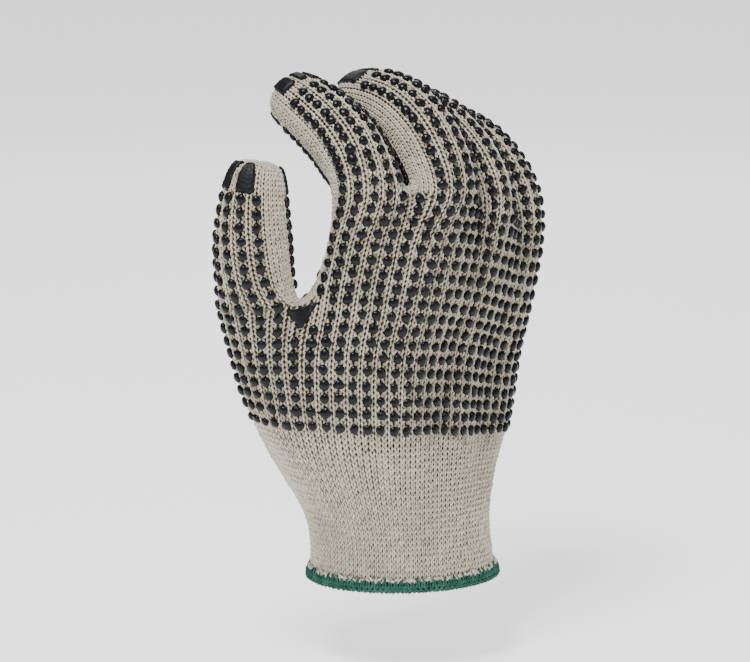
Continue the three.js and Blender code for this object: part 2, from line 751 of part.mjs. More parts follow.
const surface = buildSurface();
const group = new THREE.Group();
group.name = 'dotted_knit_glove';
group.add(knitPiece('wrist_cuff', surface, ({ part, row }) => part === 'hand' && row < CUFF_ROWS));
group.add(knitPiece('palm_body', surface, ({ part, row }) => (
  part === 'knuckles' || part === 'crotch' || (part === 'hand' && row >= CUFF_ROWS))));
RAYS.forEach((name) => group.add(knitPiece(name, surface, ({ part }) => part === name)));
group.add(hemMesh(surface));
['back', 'palm'].forEach((face) => {
  RAYS.forEach((name) => group.add(...tipPatches(surface, name, face)));
  group.add(crotchPatch(surface, face));
});

export default group;
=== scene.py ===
import json
import math

import bpy
import numpy as np
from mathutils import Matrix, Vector

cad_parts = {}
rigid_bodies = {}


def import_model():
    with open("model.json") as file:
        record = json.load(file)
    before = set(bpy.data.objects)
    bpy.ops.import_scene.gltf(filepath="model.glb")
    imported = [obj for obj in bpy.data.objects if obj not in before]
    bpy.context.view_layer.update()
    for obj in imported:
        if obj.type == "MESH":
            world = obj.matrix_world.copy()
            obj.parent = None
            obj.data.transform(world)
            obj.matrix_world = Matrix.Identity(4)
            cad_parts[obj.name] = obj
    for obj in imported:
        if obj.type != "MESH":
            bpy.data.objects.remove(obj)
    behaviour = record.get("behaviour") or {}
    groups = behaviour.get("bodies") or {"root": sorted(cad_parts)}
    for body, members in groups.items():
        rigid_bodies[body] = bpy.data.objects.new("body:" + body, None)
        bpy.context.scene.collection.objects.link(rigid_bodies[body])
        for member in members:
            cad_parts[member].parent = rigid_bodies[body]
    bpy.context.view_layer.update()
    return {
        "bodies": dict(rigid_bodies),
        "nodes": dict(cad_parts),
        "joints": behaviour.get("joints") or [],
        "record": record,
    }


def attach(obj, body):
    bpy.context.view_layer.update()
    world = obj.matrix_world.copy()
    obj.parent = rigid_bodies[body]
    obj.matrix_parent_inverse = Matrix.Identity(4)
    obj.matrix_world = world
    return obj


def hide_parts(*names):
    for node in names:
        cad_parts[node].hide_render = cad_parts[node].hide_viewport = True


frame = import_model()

# A right-hand string-knit work glove with grip dots, upright and in a half-closed form.
# Sizes are in millimetres and are turned into metres when a mesh is made. Z runs up from
# the cuff opening, the back of the hand faces -Y and the thumb is towards -X. The form is a
# control cage with four columns on the back and four on the palm of each ray (a finger with
# its share of the palm), and one more column between neighbouring rays.
MM = 0.001
SEED = 7
RAYS = ["thumb", "index_finger", "middle_finger", "ring_finger", "little_finger"]
RAY_COLUMNS = 4
RING_COLUMNS = 40
KNIT_WALL = 1.9

# Oval of the cuff at four heights: centre, half width, half depth, turn about Z.
CUFF_OVALS = [
    {"z": 0, "x": 0.3, "y": 0, "half_width": 31.9, "half_depth": 21.5, "turn": -34},
    {"z": 8, "x": -0.3, "y": 0, "half_width": 31, "half_depth": 21, "turn": -33},
    {"z": 30, "x": -2.5, "y": 0, "half_width": 31.2, "half_depth": 21, "turn": -30},
    {"z": 60, "x": -8.5, "y": 2, "half_width": 41.5, "half_depth": 26, "turn": -15},
]
# Share of the cuff's girth of one back or palm column of each ray, of a column between
# rays, and of the two columns at the edges of the hand.
RAY_SHARE = [5 / 3, 5 / 3, 5 / 3, 4 / 3, 4 / 3]
BETWEEN_SHARE = 1
EDGE_SHARE = 1.2
# Heights over which the oval of the cuff turns into the section of the palm.
CUFF_TO_PALM = (14, 56)

# Sections of the palm. back and palm: for thumb to little finger, the x and y of the
# surface in the middle of the ray, the way it faces (degrees from -Y) and its half width.
# flat: 1 for a slab, 0 for a round finger. drop: how far the ray sinks below the height z.
PALM_SECTIONS = [
    {
        "z": 45,
        "back": [
            (-43.8, 14, -100, 11.6), (-35, -8, -42, 12.2), (-14, -20.5, -4, 12.2),
            (10, -19, 11, 10), (31, -12.5, 20, 10),
        ],
        "palm": [
            (-35.5, 30, 25, 7.5), (-25, 31, 5, 8), (-8, 29, -8, 9),
            (12, 24, -20, 9), (30, 13, -35, 9),
        ],
        "flat": (0.9, 0.9, 0.9, 0.9, 0.9),
        "drop": (0, 0, 2, 5, 8),
    },
    {
        "z": 58,
        "back": [
            (-49, 14, -90, 11.6), (-38, -9, -42, 12.2), (-15, -20, -4, 12.2),
            (11, -18, 11, 10), (35, -11.5, 20, 10),
        ],
        "palm": [
            (-39, 31, 25, 7.5), (-26, 32, 5, 8.5), (-8, 29, -8, 9.5),
            (13, 23, -20, 9.5), (34, 12, -35, 9.5),
        ],
        "flat": (0.9, 0.9, 0.9, 0.9, 0.9),
        "drop": (0, 0, 2.8, 8, 13),
    },
    {
        "z": 87,
        "back": [
            (-56.8, 11, -66, 13), (-34.5, -8.5, -40, 12.2), (-7.5, -18.5, -4, 12.2),
            (19.5, -14.5, 12, 10), (43, -8, 22, 10),
        ],
        "palm": [
            (-42, 25, 30, 9.5), (-26, 23, 8, 9), (-5, 18, 0, 10),
            (17, 15, -4, 9.5), (38, 11, -15, 9),
        ],
        "flat": (0.5, 0.8, 0.8, 0.8, 0.8),
        "drop": (2, 0, 4.2, 9.7, 17.5),
    },
    {
        "z": 98,
        "back": [
            (-60.3, 9, -66, 14.7), (-30.3, -7.4, -48, 12.2), (-6.5, -21, -5, 12.2),
            (19.5, -18, 11, 10), (44, -10.5, 22, 10),
        ],
        "palm": [
            (-38.7, 19, -60, 13.5), (-19, 14.5, -10, 9.5), (0, 12, -2, 10),
            (20, 11, 3, 9.5), (40, 12, 0, 9.5),
        ],
        "flat": (0.1, 0.75, 0.95, 0.95, 0.85),
        "drop": (2, 0, 3.7, 10.5, 19),
    },
    {
        "z": 120,
        "back": [
            (-60.3, 9, -66, 14.7), (-26, -9.5, -50, 12.2), (0.5, -21.5, -6, 12.2),
            (27, -18.5, 10, 10.2), (51, -10.5, 24, 10),
        ],
        "palm": [
            (-38.7, 19, -60, 13.5), (-11, 8, -22, 10), (7, 6, -4, 10),
            (27, 7, 6, 9.3), (46, 13, 14, 9),
        ],
        "flat": (0.1, 0.6, 0.92, 0.92, 0.75),
        "drop": (2, 0, 3, 9, 17),
    },
    {
        "z": 137,
        "back": [
            (-60.3, 9, -66, 14.7), (-26.4, -14.6, -38, 11.8), (8.1, -22.8, -5, 12),
            (34.2, -15.6, 10, 10.8), (56.6, -6.5, 22, 10),
        ],
        "palm": [
            (-38.7, 19, -60, 13.5), (-11.4, 3.9, -38, 11.8), (10.1, 0.8, -5, 12),
            (30.4, 5.8, 10, 10.8), (49.3, 12, 22, 10),
        ],
        "flat": (0.1, 0, 0, 0, 0),
        "drop": (2, 0, 4, 10, 17),
    },
]

# Heights of the cage rings: the hand up to the thumb's crotch, then the palm above it.
HAND_LEVELS = [-1.2, 8, 20, 33, 46, 60, 73, 86, 99]
KNUCKLE_LEVELS = [110, 122, 135]

# Digits. curl: the way the back of the bending plane faces. lean: tilt from upright at the
# base. Each segment: length, bend towards the palm, half width, half depth and the way the
# back of the knit faces, in degrees.
DIGITS = {
    "thumb": {
        "curl": -82,
        "lean": -14,
        "segments": [
            (6, 5, 12, 12.1, -74), (12, 8, 12.7, 12.6, -82), (12, 8, 11.5, 11.3, -88),
            (9.8, 4, 9.9, 9.6, -90), (6.8, 2, 7.6, 7, -90),
        ],
    },
    "index_finger": {
        "curl": 0,
        "lean": 26,
        "segments": [
            (7, 17, 11.8, 11.6, -34), (11, 15, 11.5, 10.7, -30), (12, 9, 11.1, 9.8, -28),
            (10, 4, 10.5, 9, -26), (6.5, 1, 9.6, 8.2, -25), (3.5, 0, 8.1, 6.8, -25),
        ],
    },
    "middle_finger": {
        "curl": 2,
        "lean": 10,
        "segments": [
            (7, 12, 12.2, 11.9, -8), (12, 24, 12.3, 11.8, -11), (13, 26, 12.2, 11.4, -12),
            (12, 14, 11.5, 10.4, -13), (10, 7, 10.6, 9.2, -13), (5, 2, 8.8, 7.2, -13),
        ],
    },
    "ring_finger": {
        "curl": 4,
        "lean": 13,
        "segments": [
            (7, 20, 10.8, 10.8, 8), (12, 20, 10.7, 10.8, 4), (13, 17, 10.7, 10.6, 2),
            (12, 10, 10.6, 10, 0), (10, 6, 9.8, 8.6, 0), (5, 4, 8, 6.2, 0),
        ],
    },
    "little_finger": {
        "curl": 5,
        "lean": 13,
        "segments": [
            (7, 20, 10, 10, 20), (11, 18, 9.8, 9.8, 18), (11, 15, 9.7, 9.7, 16),
            (10, 12, 9.6, 9.2, 15), (8, 8, 9, 8.2, 15), (5, 5, 7.2, 5.8, 15),
        ],
    },
}

# Angles of the four cage columns on one side of a round finger, and how far a ring of
# eight control points must stand out for the smoothed finger to reach its radius.
ROUND_ANGLES = (157.5, 112.5, 67.5, 22.5)
ROUND_SWELL = 1 / 0.902
# The same four columns on a flat palm, in half widths across and out of the surface.
FLAT_ACROSS = (-0.88, -0.3, 0.3, 0.88)
FLAT_OUT = (-0.06, 0.04, 0.04, -0.06)

# The cage is halved three times, so each of its faces becomes a grid of 8 by 8.
HALVINGS = 3
GRID = 2 ** HALVINGS

# Knit. Wales are the upright columns of stitches, courses the rows. Each dot column of a
# ray is two wales wide, and so is the strip between two rays. Five wales run down each side.
DOT_COLUMNS = {
    "thumb": 5, "index_finger": 5, "middle_finger": 5, "ring_finger": 4, "little_finger": 4,
}
WALES_PER_DOT = 2
SIDE_WALES = 5
# How far, in cage columns, the wales of a digit are turned towards the little finger.
WALE_TURN = {
    "thumb": 0, "index_finger": 0.38, "middle_finger": 0.5, "ring_finger": 0.4, "little_finger": 0.3,
}
# Rows between which the wales go from even all round to even over the thumb and over the
# fingers, and then to even over each finger.
ROUND_TO_THUMB = (4.6, 7.4)
THUMB_TO_FINGERS = (9.3, 11)
# Height of a course. gap is the knit between the roots of two digits.
COURSE_PITCH = {"palm": 1.87, "thumb": 1.72, "finger": 1.85, "gap": 1.8}
# Cage rows that each piece of the hand covers.
HAND_PIECES = {"cuff_knit": (0, 4), "heel_knit": (4, 6), "palm_knit": (6, 9)}
NODE_OF = {
    "cuff_knit": "wrist_cuff", "heel_knit": "palm_body", "palm_knit": "palm_body",
    "knuckle_knit": "palm_body",
}
# Share of a course by which the loops reach over a joint, or stay back from a free edge.
JOINT_REACH = 0.4
EDGE_REACH = -0.02
# Places that a sheet knows per wale, and how far past its ends, in places, it can be read.
TABLE_STEPS = 8
ROWS_PAST = 0.6

# Yarn: its radius, and its thickness at each step of a stitch, from the foot of a loop up
# one leg, over the head and down the other leg.
YARN_RADIUS = 0.39
YARN_SHAPE = (0.8, 1.03, 1.11, 0.92, 0.92, 1.11, 1.03)
STITCH_STEPS = len(YARN_SHAPE)
# How far, in wales, a loop pinches in at its neck and swells at its head.
LOOP_PINCH = 0.27
LOOP_SWELL = 0.04
# How far, in courses, a loop reaches up and down, and how deep its head and foot lie.
STITCH_REACH = 0.84
STITCH_DEPTH = 0.36
# How far, in wales a course, the stitches slant: in the cuff, and above the rows between.
STITCH_SKEW = (0.15, 0.02)
SKEW_ROWS = (3.3, 4.6)
# Width of a wale in which the yarn has its full thickness, and the least and the greatest
# share of it elsewhere.
FULL_WALE = 1.85
YARN_SCALE = (0.68, 1.1)
STITCH_UNEVEN = {"height": 0.07, "depth": 0.06, "radius": 0.06}
# Depth at which the wall behind the stitches starts, and the pitch of its rows in metres.
INNER_FACE_TOP = 1.35
PURL_PITCH = 0.0019

# Grip dots. Rings of a dot, from below the stitches to near its top: share of its radius
# and height. Lobes: how often each swings round the dot, and by what share of the radius.
DOT_ROW_PITCH = 4.65
FIRST_DOT_ROW = 4.79
DOT_RADIUS = 1.7
DOT_HEIGHT = 1.25
DOT_SINK = 0.45
DOT_SECTORS = 10
DOT_RINGS = [(0.86, -DOT_SINK), (1.0, 0.14), (0.92, 0.58), (0.6, 0.98)]
DOT_LOBES = [(2, 0.06), (3, 0.08), (4, 0.08)]
DOT_SLIP = {"wale": 0.06, "row": 0.012}
DOT_TO_PATCH = 1.9
# How far below the patches of a digit its dots stop, in cage rows.
DOTS_BELOW_PATCH = {"thumb": 0.15, "finger": 0.2}
# How far the rows sink over the outer edge of the index finger, for its five dot columns,
# and the rows of the hand over which this sets in.
INDEX_SAG = (2.4, 1.3, 0.5, 0.1, 0.2)
SAG_ROWS = (6.2, 8.2)

# Solid patches at each fingertip. from and to: the cage columns between which each lies on
# the back. cut: the shares of its width that its left and right corner lose towards the
# tip. lean: how many columns its tip end leans over.
TIP_PATCHES = {
    "thumb": {
        "radial_patch": {"from": 0.55, "to": 0.8, "cut": (0.1, 0.2), "lean": 0.3},
        "centre_bar": {"from": 1.08, "to": 1.33, "cut": (0.1, 0.2), "lean": 0.25},
        "ulnar_patch": {"from": 1.74, "to": 2.6, "cut": (0.3, 0.3), "lean": -0.05},
    },
    "finger": {
        "radial_patch": {"from": 0.25, "to": 1.12, "cut": (0.1, 0.4), "lean": 0},
        "centre_bar": {"from": 1.3, "to": 1.7, "cut": (0.1, 0.1), "lean": 0},
        "ulnar_patch": {"from": 1.88, "to": 2.75, "cut": (0.4, 0.1), "lean": 0},
    },
}
TIP_PATCH_ROWS = {"thumb": (3.6, 4.92), "finger": (4.3, 5.9)}
PATCH_CORNER = 0.2
PATCH_RAGGED = 0.06
# Patch in the fork of the thumb, from its point up: row of the hand, left and right edge in
# cage columns.
CROTCH_OUTLINE = [(7.3, 3.68, 3.82), (7.5, 3.34, 3.98), (7.7, 3.1, 4.14), (7.9, 2.9, 4.3)]

# Hem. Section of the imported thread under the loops: reach out of the knit and height.
HEM_CORE = [
    (-0.4, 2.2), (0.1, -0.3), (-KNIT_WALL - 0.3, -0.3), (-KNIT_WALL - 0.3, 2.2),
    (-KNIT_WALL - 0.8, 2), (-KNIT_WALL - 0.8, -0.5), (-KNIT_WALL - 0.2, -0.95),
    (0.2, -0.95), (0.6, -0.5), (0.6, 1.1), (0.1, 2),
]
HEM_CORE_STEP = 4
# One tooth of the overlock thread: share of its width along the hem, reach and height.
HEM_TEETH = 96
HEM_TOOTH = [
    (0, 0.85, 0.1), (0.14, 1, 1.4), (0.3, 0.65, 2.8), (0.42, 0, 3.7), (0.54, 0.6, 2.8),
    (0.68, 1, 1.3), (0.8, 0.5, -0.9), (0.86, -KNIT_WALL - 0.6, -0.8),
    (0.92, -KNIT_WALL - 0.95, 1.2), (0.97, -KNIT_WALL - 0.4, -0.75),
]
HEM_TOOTH_TIP = 3
HEM_WAVES = [
    {"turns": 96, "low": 0.1, "high": 1.9, "reach": 1.0, "phase": 0, "radius": 0.32},
    {"turns": 104, "low": -0.9, "high": 0.8, "reach": 0.95, "phase": 0.25, "radius": 0.34},
]
HEM_CHAIN_TURNS = 130
RAGGED_ENDS = 260

# Camera: the direction it looks from, its distance, the point it is measured from, and
# where that point lies in a picture of 750 by 662 pixels.
CAMERA = {"azimuth": -40, "elevation": 12, "distance": 900, "focal_px": 2700}
CAMERA_TARGET = (0, 0, 86)
CAMERA_TARGET_PX = (402, 320)
FRAME_PX = (750, 662)
SENSOR = 36

rng = np.random.default_rng(SEED)


# Small helpers

def smoothstep(x, low, high):
    """0 below low, 1 above high and a smooth rise between."""
    t = min(max((x - low) / (high - low), 0), 1)
    return t * t * (3 - 2 * t)


def facing(turn):
    """Unit vectors out of a surface that faces the given way, and across it."""
    angle = math.radians(turn)
    out = np.array([math.sin(angle), -math.cos(angle), 0])
    across = np.array([math.cos(angle), math.sin(angle), 0])
    return out, across


def unit(vectors):
    """The vectors at length one."""
    return vectors / np.maximum(np.linalg.norm(vectors, axis=-1, keepdims=True), 1e-12)


def running_length(points):
    """Length passed along a line of points."""
    steps = np.linalg.norm(np.diff(points, axis=0), axis=1)
    return np.concatenate([[0], np.cumsum(steps)])


def read_table(rows, z, value):
    """Smooth curve through the rows of a table, read at the height z."""
    heights = [row["z"] for row in rows]
    last = len(rows) - 1
    if z <= heights[0]:
        return np.array(value(rows[0]), float)
    if z >= heights[last]:
        return np.array(value(rows[last]), float)
    lower = max(k for k in range(last) if heights[k] <= z)
    values = [np.array(value(row), float) for row in rows]

    def slope(k):
        before, after = max(k - 1, 0), min(k + 1, last)
        return (values[after] - values[before]) / (heights[after] - heights[before])

    span = heights[lower + 1] - heights[lower]
    t = (z - heights[lower]) / span
    t2, t3 = t * t, t * t * t
    return (
        (2 * t3 - 3 * t2 + 1) * values[lower]
        + (t3 - 2 * t2 + t) * slope(lower) * span
        + (3 * t2 - 2 * t3) * values[lower + 1]
        + (t3 - t2) * slope(lower + 1) * span
    )


# The control cage

def palm_side(x, y, z, turn, half_width, flat, side):
    """Four cage points across one side of a ray: side is 1 for the back, -1 for the palm."""
    out, across = facing(turn)
    points = []
    for k, degrees in enumerate(ROUND_ANGLES):
        round_across = math.cos(math.radians(degrees)) * ROUND_SWELL
        round_out = math.sin(math.radians(degrees)) * ROUND_SWELL - 1
        sideways = round_across * (1 - flat) + FLAT_ACROSS[k] * flat
        outward = round_out * (1 - flat) + FLAT_OUT[k] * flat
        points.append(np.array([x, y, z]) + across * sideways * half_width
                      + out * outward * half_width * side)
    return points


def column_drops(z):
    """How far each cage column sinks below its height, smooth from ray to ray."""
    drops = read_table(PALM_SECTIONS, z, lambda row: row["drop"])
    middles = [RAY_COLUMNS * ray + 1.5 for ray in range(len(RAYS))]
    mirrored = [min(k, RING_COLUMNS - 1 - k) for k in range(RING_COLUMNS)]
    return np.interp(mirrored, middles, drops)


def palm_ring(z):
    """The forty points round the hand at the height z, back first."""
    flat = read_table(PALM_SECTIONS, z, lambda row: row["flat"])
    ring = {}
    for face, sign in (("back", 1), ("palm", -1)):
        rows = read_table(PALM_SECTIONS, z, lambda row: row[face])
        ring[face] = []
        for ray, (x, y, turn, half_width) in enumerate(rows):
            ring[face] += palm_side(x, y, z, turn, half_width, flat[ray], sign)
    return np.array(ring["back"] + ring["palm"][::-1])


def girth_shares():
    """Shares of the girth of the forty columns of the cuff."""
    back = []
    for ray, share in enumerate(RAY_SHARE):
        back += [share] * 3
        if ray < len(RAYS) - 1:
            back.append(BETWEEN_SHARE)
    return np.array(back + [EDGE_SHARE] + back[::-1] + [EDGE_SHARE])


def cuff_ring(z):
    """The forty points round the cuff's oval at the height z, spread by their shares."""
    keys = ("x", "y", "half_width", "half_depth", "turn")
    x, y, half_width, half_depth, turn = read_table(CUFF_OVALS, z, lambda row: [row[k] for k in keys])
    out, across = facing(turn)
    angle = math.pi - np.linspace(0, 2 * math.pi, 721)
    oval = np.stack([np.cos(angle) * half_width, np.sin(angle) * half_depth], 1)
    run = running_length(oval)
    shares = girth_shares()
    passed = EDGE_SHARE / 2 + np.concatenate([[0], np.cumsum(shares)[:-1]])
    target = passed / shares.sum() * run[-1]
    sideways = np.interp(target, run, oval[:, 0])
    outward = np.interp(target, run, oval[:, 1])
    return np.array([x, y, z]) + np.outer(sideways, across) + np.outer(outward, out)


def cage_ring(z):
    """One cage ring: oval at the cuff, the palm's section above, sunk column by column."""
    share = smoothstep(z, *CUFF_TO_PALM)
    ring = cuff_ring(z) * (1 - share) + palm_ring(z) * share
    ring[:, 2] -= column_drops(z) * share
    return ring


class Cage:
    """Points, faces and, for each face, its part, row and column."""

    def __init__(self):
        self.points = []
        self.faces = []
        self.places = []

    def add_ring(self, points):
        first = len(self.points)
        self.points += [np.array(p, float) for p in points]
        return list(range(first, len(self.points)))

    def add_face(self, corners, part, row, column):
        self.faces.append(corners)
        self.places.append((part, row, column))

    def add_band(self, lower, upper, part, row):
        for k in range(len(lower)):
            after = (k + 1) % len(lower)
            self.add_face([lower[k], lower[after], upper[after], upper[k]], part, row, k)


def digit_ring(centre, across, out, half_width, half_depth):
    """Eight points round a digit, from the radial edge of its back over to the palm."""
    sides = {}
    for side in (1, -1):
        sides[side] = [
            centre
            + across * math.cos(math.radians(degrees)) * ROUND_SWELL * half_width
            + out * math.sin(math.radians(degrees)) * ROUND_SWELL * half_depth * side
            for degrees in ROUND_ANGLES
        ]
    return sides[1] + sides[-1][::-1]


def add_digit(cage, name, base, start):
    """A digit grows ring by ring from its base and is closed by three faces at the tip."""
    digit = DIGITS[name]
    plane_out, plane_across = facing(digit["curl"])
    up = np.array([0, 0, 1.0])
    centre = start.copy()
    tilt = digit["lean"]
    below = base
    for row, (length, bend, half_width, half_depth, turn) in enumerate(digit["segments"]):
        tilt += bend / 2
        slope = math.radians(tilt)
        centre = centre + (up * math.cos(slope) - plane_out * math.sin(slope)) * length
        tilt += bend / 2
        slope = math.radians(tilt)
        back = plane_out * math.cos(slope) + up * math.sin(slope)
        roll = math.radians(turn - digit["curl"])
        out = back * math.cos(roll) + plane_across * math.sin(roll)
        across = plane_across * math.cos(roll) - back * math.sin(roll)
        ring = cage.add_ring(digit_ring(centre, across, out, half_width, half_depth))
        cage.add_band(below, ring, name, row)
        below = ring
    for k, corners in enumerate([(0, 1, 6, 7), (1, 2, 5, 6), (2, 3, 4, 5)]):
        cage.add_face([below[c] for c in corners], name + "_cap", 0, k)


def ray_centre(z, ray):
    """Middle of a ray at the height z, halfway between back and palm."""
    back = read_table(PALM_SECTIONS, z, lambda row: row["back"][ray][:2])
    palm = read_table(PALM_SECTIONS, z, lambda row: row["palm"][ray][:2])
    drop = read_table(PALM_SECTIONS, z, lambda row: row["drop"][ray])
    x, y = (back + palm) / 2
    return np.array([x, y, z - drop])


def ray_slice(ring, ray):
    """The eight points of one ray out of a ring that goes round the whole hand."""
    first = ray * RAY_COLUMNS
    palm_end = len(ring) - first
    return ring[first:first + RAY_COLUMNS] + ring[palm_end - RAY_COLUMNS:palm_end]


def add_crotch(cage, ring, ray, name):
    """The small face at the bottom of the gap between two neighbouring rays."""
    last = (ray + 1) * RAY_COLUMNS - 1
    opposite = len(ring) - 1 - last
    cage.add_face([ring[last], ring[last + 1], ring[opposite - 1], ring[opposite]], name, 0, 0)


def build_cage():
    """The whole cage: hand, thumb, knuckles, fingers."""
    cage = Cage()
    below = None
    for level, z in enumerate(HAND_LEVELS):
        ring = cage.add_ring(cage_ring(z))
        if below:
            cage.add_band(below, ring, "hand", level - 1)
        below = ring
    add_crotch(cage, below, 0, "crotch_0")
    add_digit(cage, RAYS[0], ray_slice(below, 0), ray_centre(HAND_LEVELS[-1], 0))
    below = below[RAY_COLUMNS:RING_COLUMNS - RAY_COLUMNS]
    for row, z in enumerate(KNUCKLE_LEVELS):
        ring = cage.add_ring(cage_ring(z)[RAY_COLUMNS:RING_COLUMNS - RAY_COLUMNS])
        cage.add_band(below, ring, "knuckles", row)
        below = ring
    for finger, name in enumerate(RAYS[1:]):
        add_digit(cage, name, ray_slice(below, finger), ray_centre(KNUCKLE_LEVELS[-1], finger + 1))
        if finger < len(RAYS) - 2:
            add_crotch(cage, below, finger, "crotch_%d" % (finger + 1))
    return cage


def halve(points, faces):
    """One step of Catmull-Clark subdivision. The children of a face keep its corner order."""
    n_faces, n_points = len(faces), len(points)
    centres = points[faces].mean(1)
    ends = np.stack([faces, np.roll(faces, -1, 1)], -1).reshape(-1, 2)
    ends.sort(axis=1)
    keys, edge_of = np.unique(ends[:, 0] * n_points + ends[:, 1], return_inverse=True)
    edges = np.stack([keys // n_points, keys % n_points], 1)
    uses = np.bincount(edge_of, minlength=len(edges))
    face_sum = np.zeros((len(edges), 3))
    np.add.at(face_sum, edge_of, np.repeat(centres, 4, 0))
    middles = points[edges].mean(1)
    inner = (uses == 2)[:, None]
    edge_points = np.where(inner, (points[edges].sum(1) + face_sum) / 4, middles)
    valence = np.bincount(faces.ravel(), minlength=n_points)[:, None]
    around_faces = np.zeros((n_points, 3))
    np.add.at(around_faces, faces.ravel(), np.repeat(centres, 4, 0))
    around_edges = np.zeros((n_points, 3))
    edge_count = np.zeros((n_points, 1))
    for end in (0, 1):
        np.add.at(around_edges, edges[:, end], middles)
        np.add.at(edge_count, edges[:, end], 1)
    moved = (around_faces / valence + 2 * around_edges / edge_count
             + (valence - 3) * points) / valence
    rim = edges[uses == 1]
    rim_sum = np.zeros((n_points, 3))
    rim_count = np.zeros(n_points)
    for near, far in ((0, 1), (1, 0)):
        np.add.at(rim_sum, rim[:, near], points[rim[:, far]])
        np.add.at(rim_count, rim[:, near], 1)
    on_rim = rim_count > 0
    moved[on_rim] = 0.75 * points[on_rim] + 0.125 * rim_sum[on_rim]
    e = edge_of.reshape(n_faces, 4) + n_points
    c = np.arange(n_faces) + n_points + len(edges)
    f = faces
    children = np.stack([
        np.stack([f[:, 0], e[:, 0], c, e[:, 3]], 1),
        np.stack([e[:, 0], f[:, 1], e[:, 1], c], 1),
        np.stack([c, e[:, 1], f[:, 2], e[:, 2]], 1),
        np.stack([e[:, 3], c, e[:, 2], f[:, 3]], 1),
    ], 1).reshape(-1, 4)
    return np.concatenate([moved, edge_points, centres]), children


def face_grids(faces, halvings):
    """For each cage face, its square grid of subdivided points: grid[row][column]."""
    size = 2 ** halvings
    count = len(faces) // 4 ** halvings
    grids = np.zeros((count, size + 1, size + 1), int)
    small = faces.reshape(count, -1, 4)
    quadrant = [(0, 0), (1, 0), (1, 1), (0, 1)]
    for index in range(4 ** halvings):
        column = row = 0
        step = size
        for level in range(halvings):
            digit = (index // 4 ** (halvings - 1 - level)) % 4
            step //= 2
            column += quadrant[digit][0] * step
            row += quadrant[digit][1] * step
        for corner in range(4):
            grids[:, row + quadrant[corner][1], column + quadrant[corner][0]] = small[:, index, corner]
    return grids


def point_normals(points, faces):
    """Outward normals of the points of a mesh of quads."""
    a, b, c, d = (points[faces[:, k]] for k in range(4))
    face_normals = np.cross(c - a, d - b)
    normals = np.zeros_like(points)
    for k in range(4):
        np.add.at(normals, faces[:, k], face_normals)
    return unit(normals)


class Form:
    """The glove's outer face: the subdivided cage, read by part, row and column."""

    def __init__(self):
        cage = build_cage()
        self.levels = [(np.array(cage.points), np.array(cage.faces))]
        for _ in range(HALVINGS):
            self.levels.append(halve(*self.levels[-1]))
        self.points, faces = self.levels[-1]
        self.normals = point_normals(self.points, faces)
        self.grids = face_grids(faces, HALVINGS)
        self.face_at = {place: f for f, place in enumerate(cage.places)}

    def part_ids(self, part, rows, columns, closed):
        """Ids of the points over the rows and columns of a part."""
        bands = []
        for row in range(rows):
            grids = [self.grids[self.face_at[(part, row, k)]] for k in range(columns)]
            band = np.concatenate([grid[:, :-1] for grid in grids], 1)
            last = band[:, :1] if closed else grids[-1][:, -1:]
            bands.append(np.concatenate([band, last], 1))
        stacked = [band[:-1] for band in bands[:-1]] + [bands[-1]]
        return np.concatenate(stacked, 0)


FORM = Form()


# Knitted sheets

def read_marks(wales, marks):
    """Cage columns at some wales, read between the marks."""
    return np.interp(wales, [mark[0] for mark in marks], [mark[1] for mark in marks])


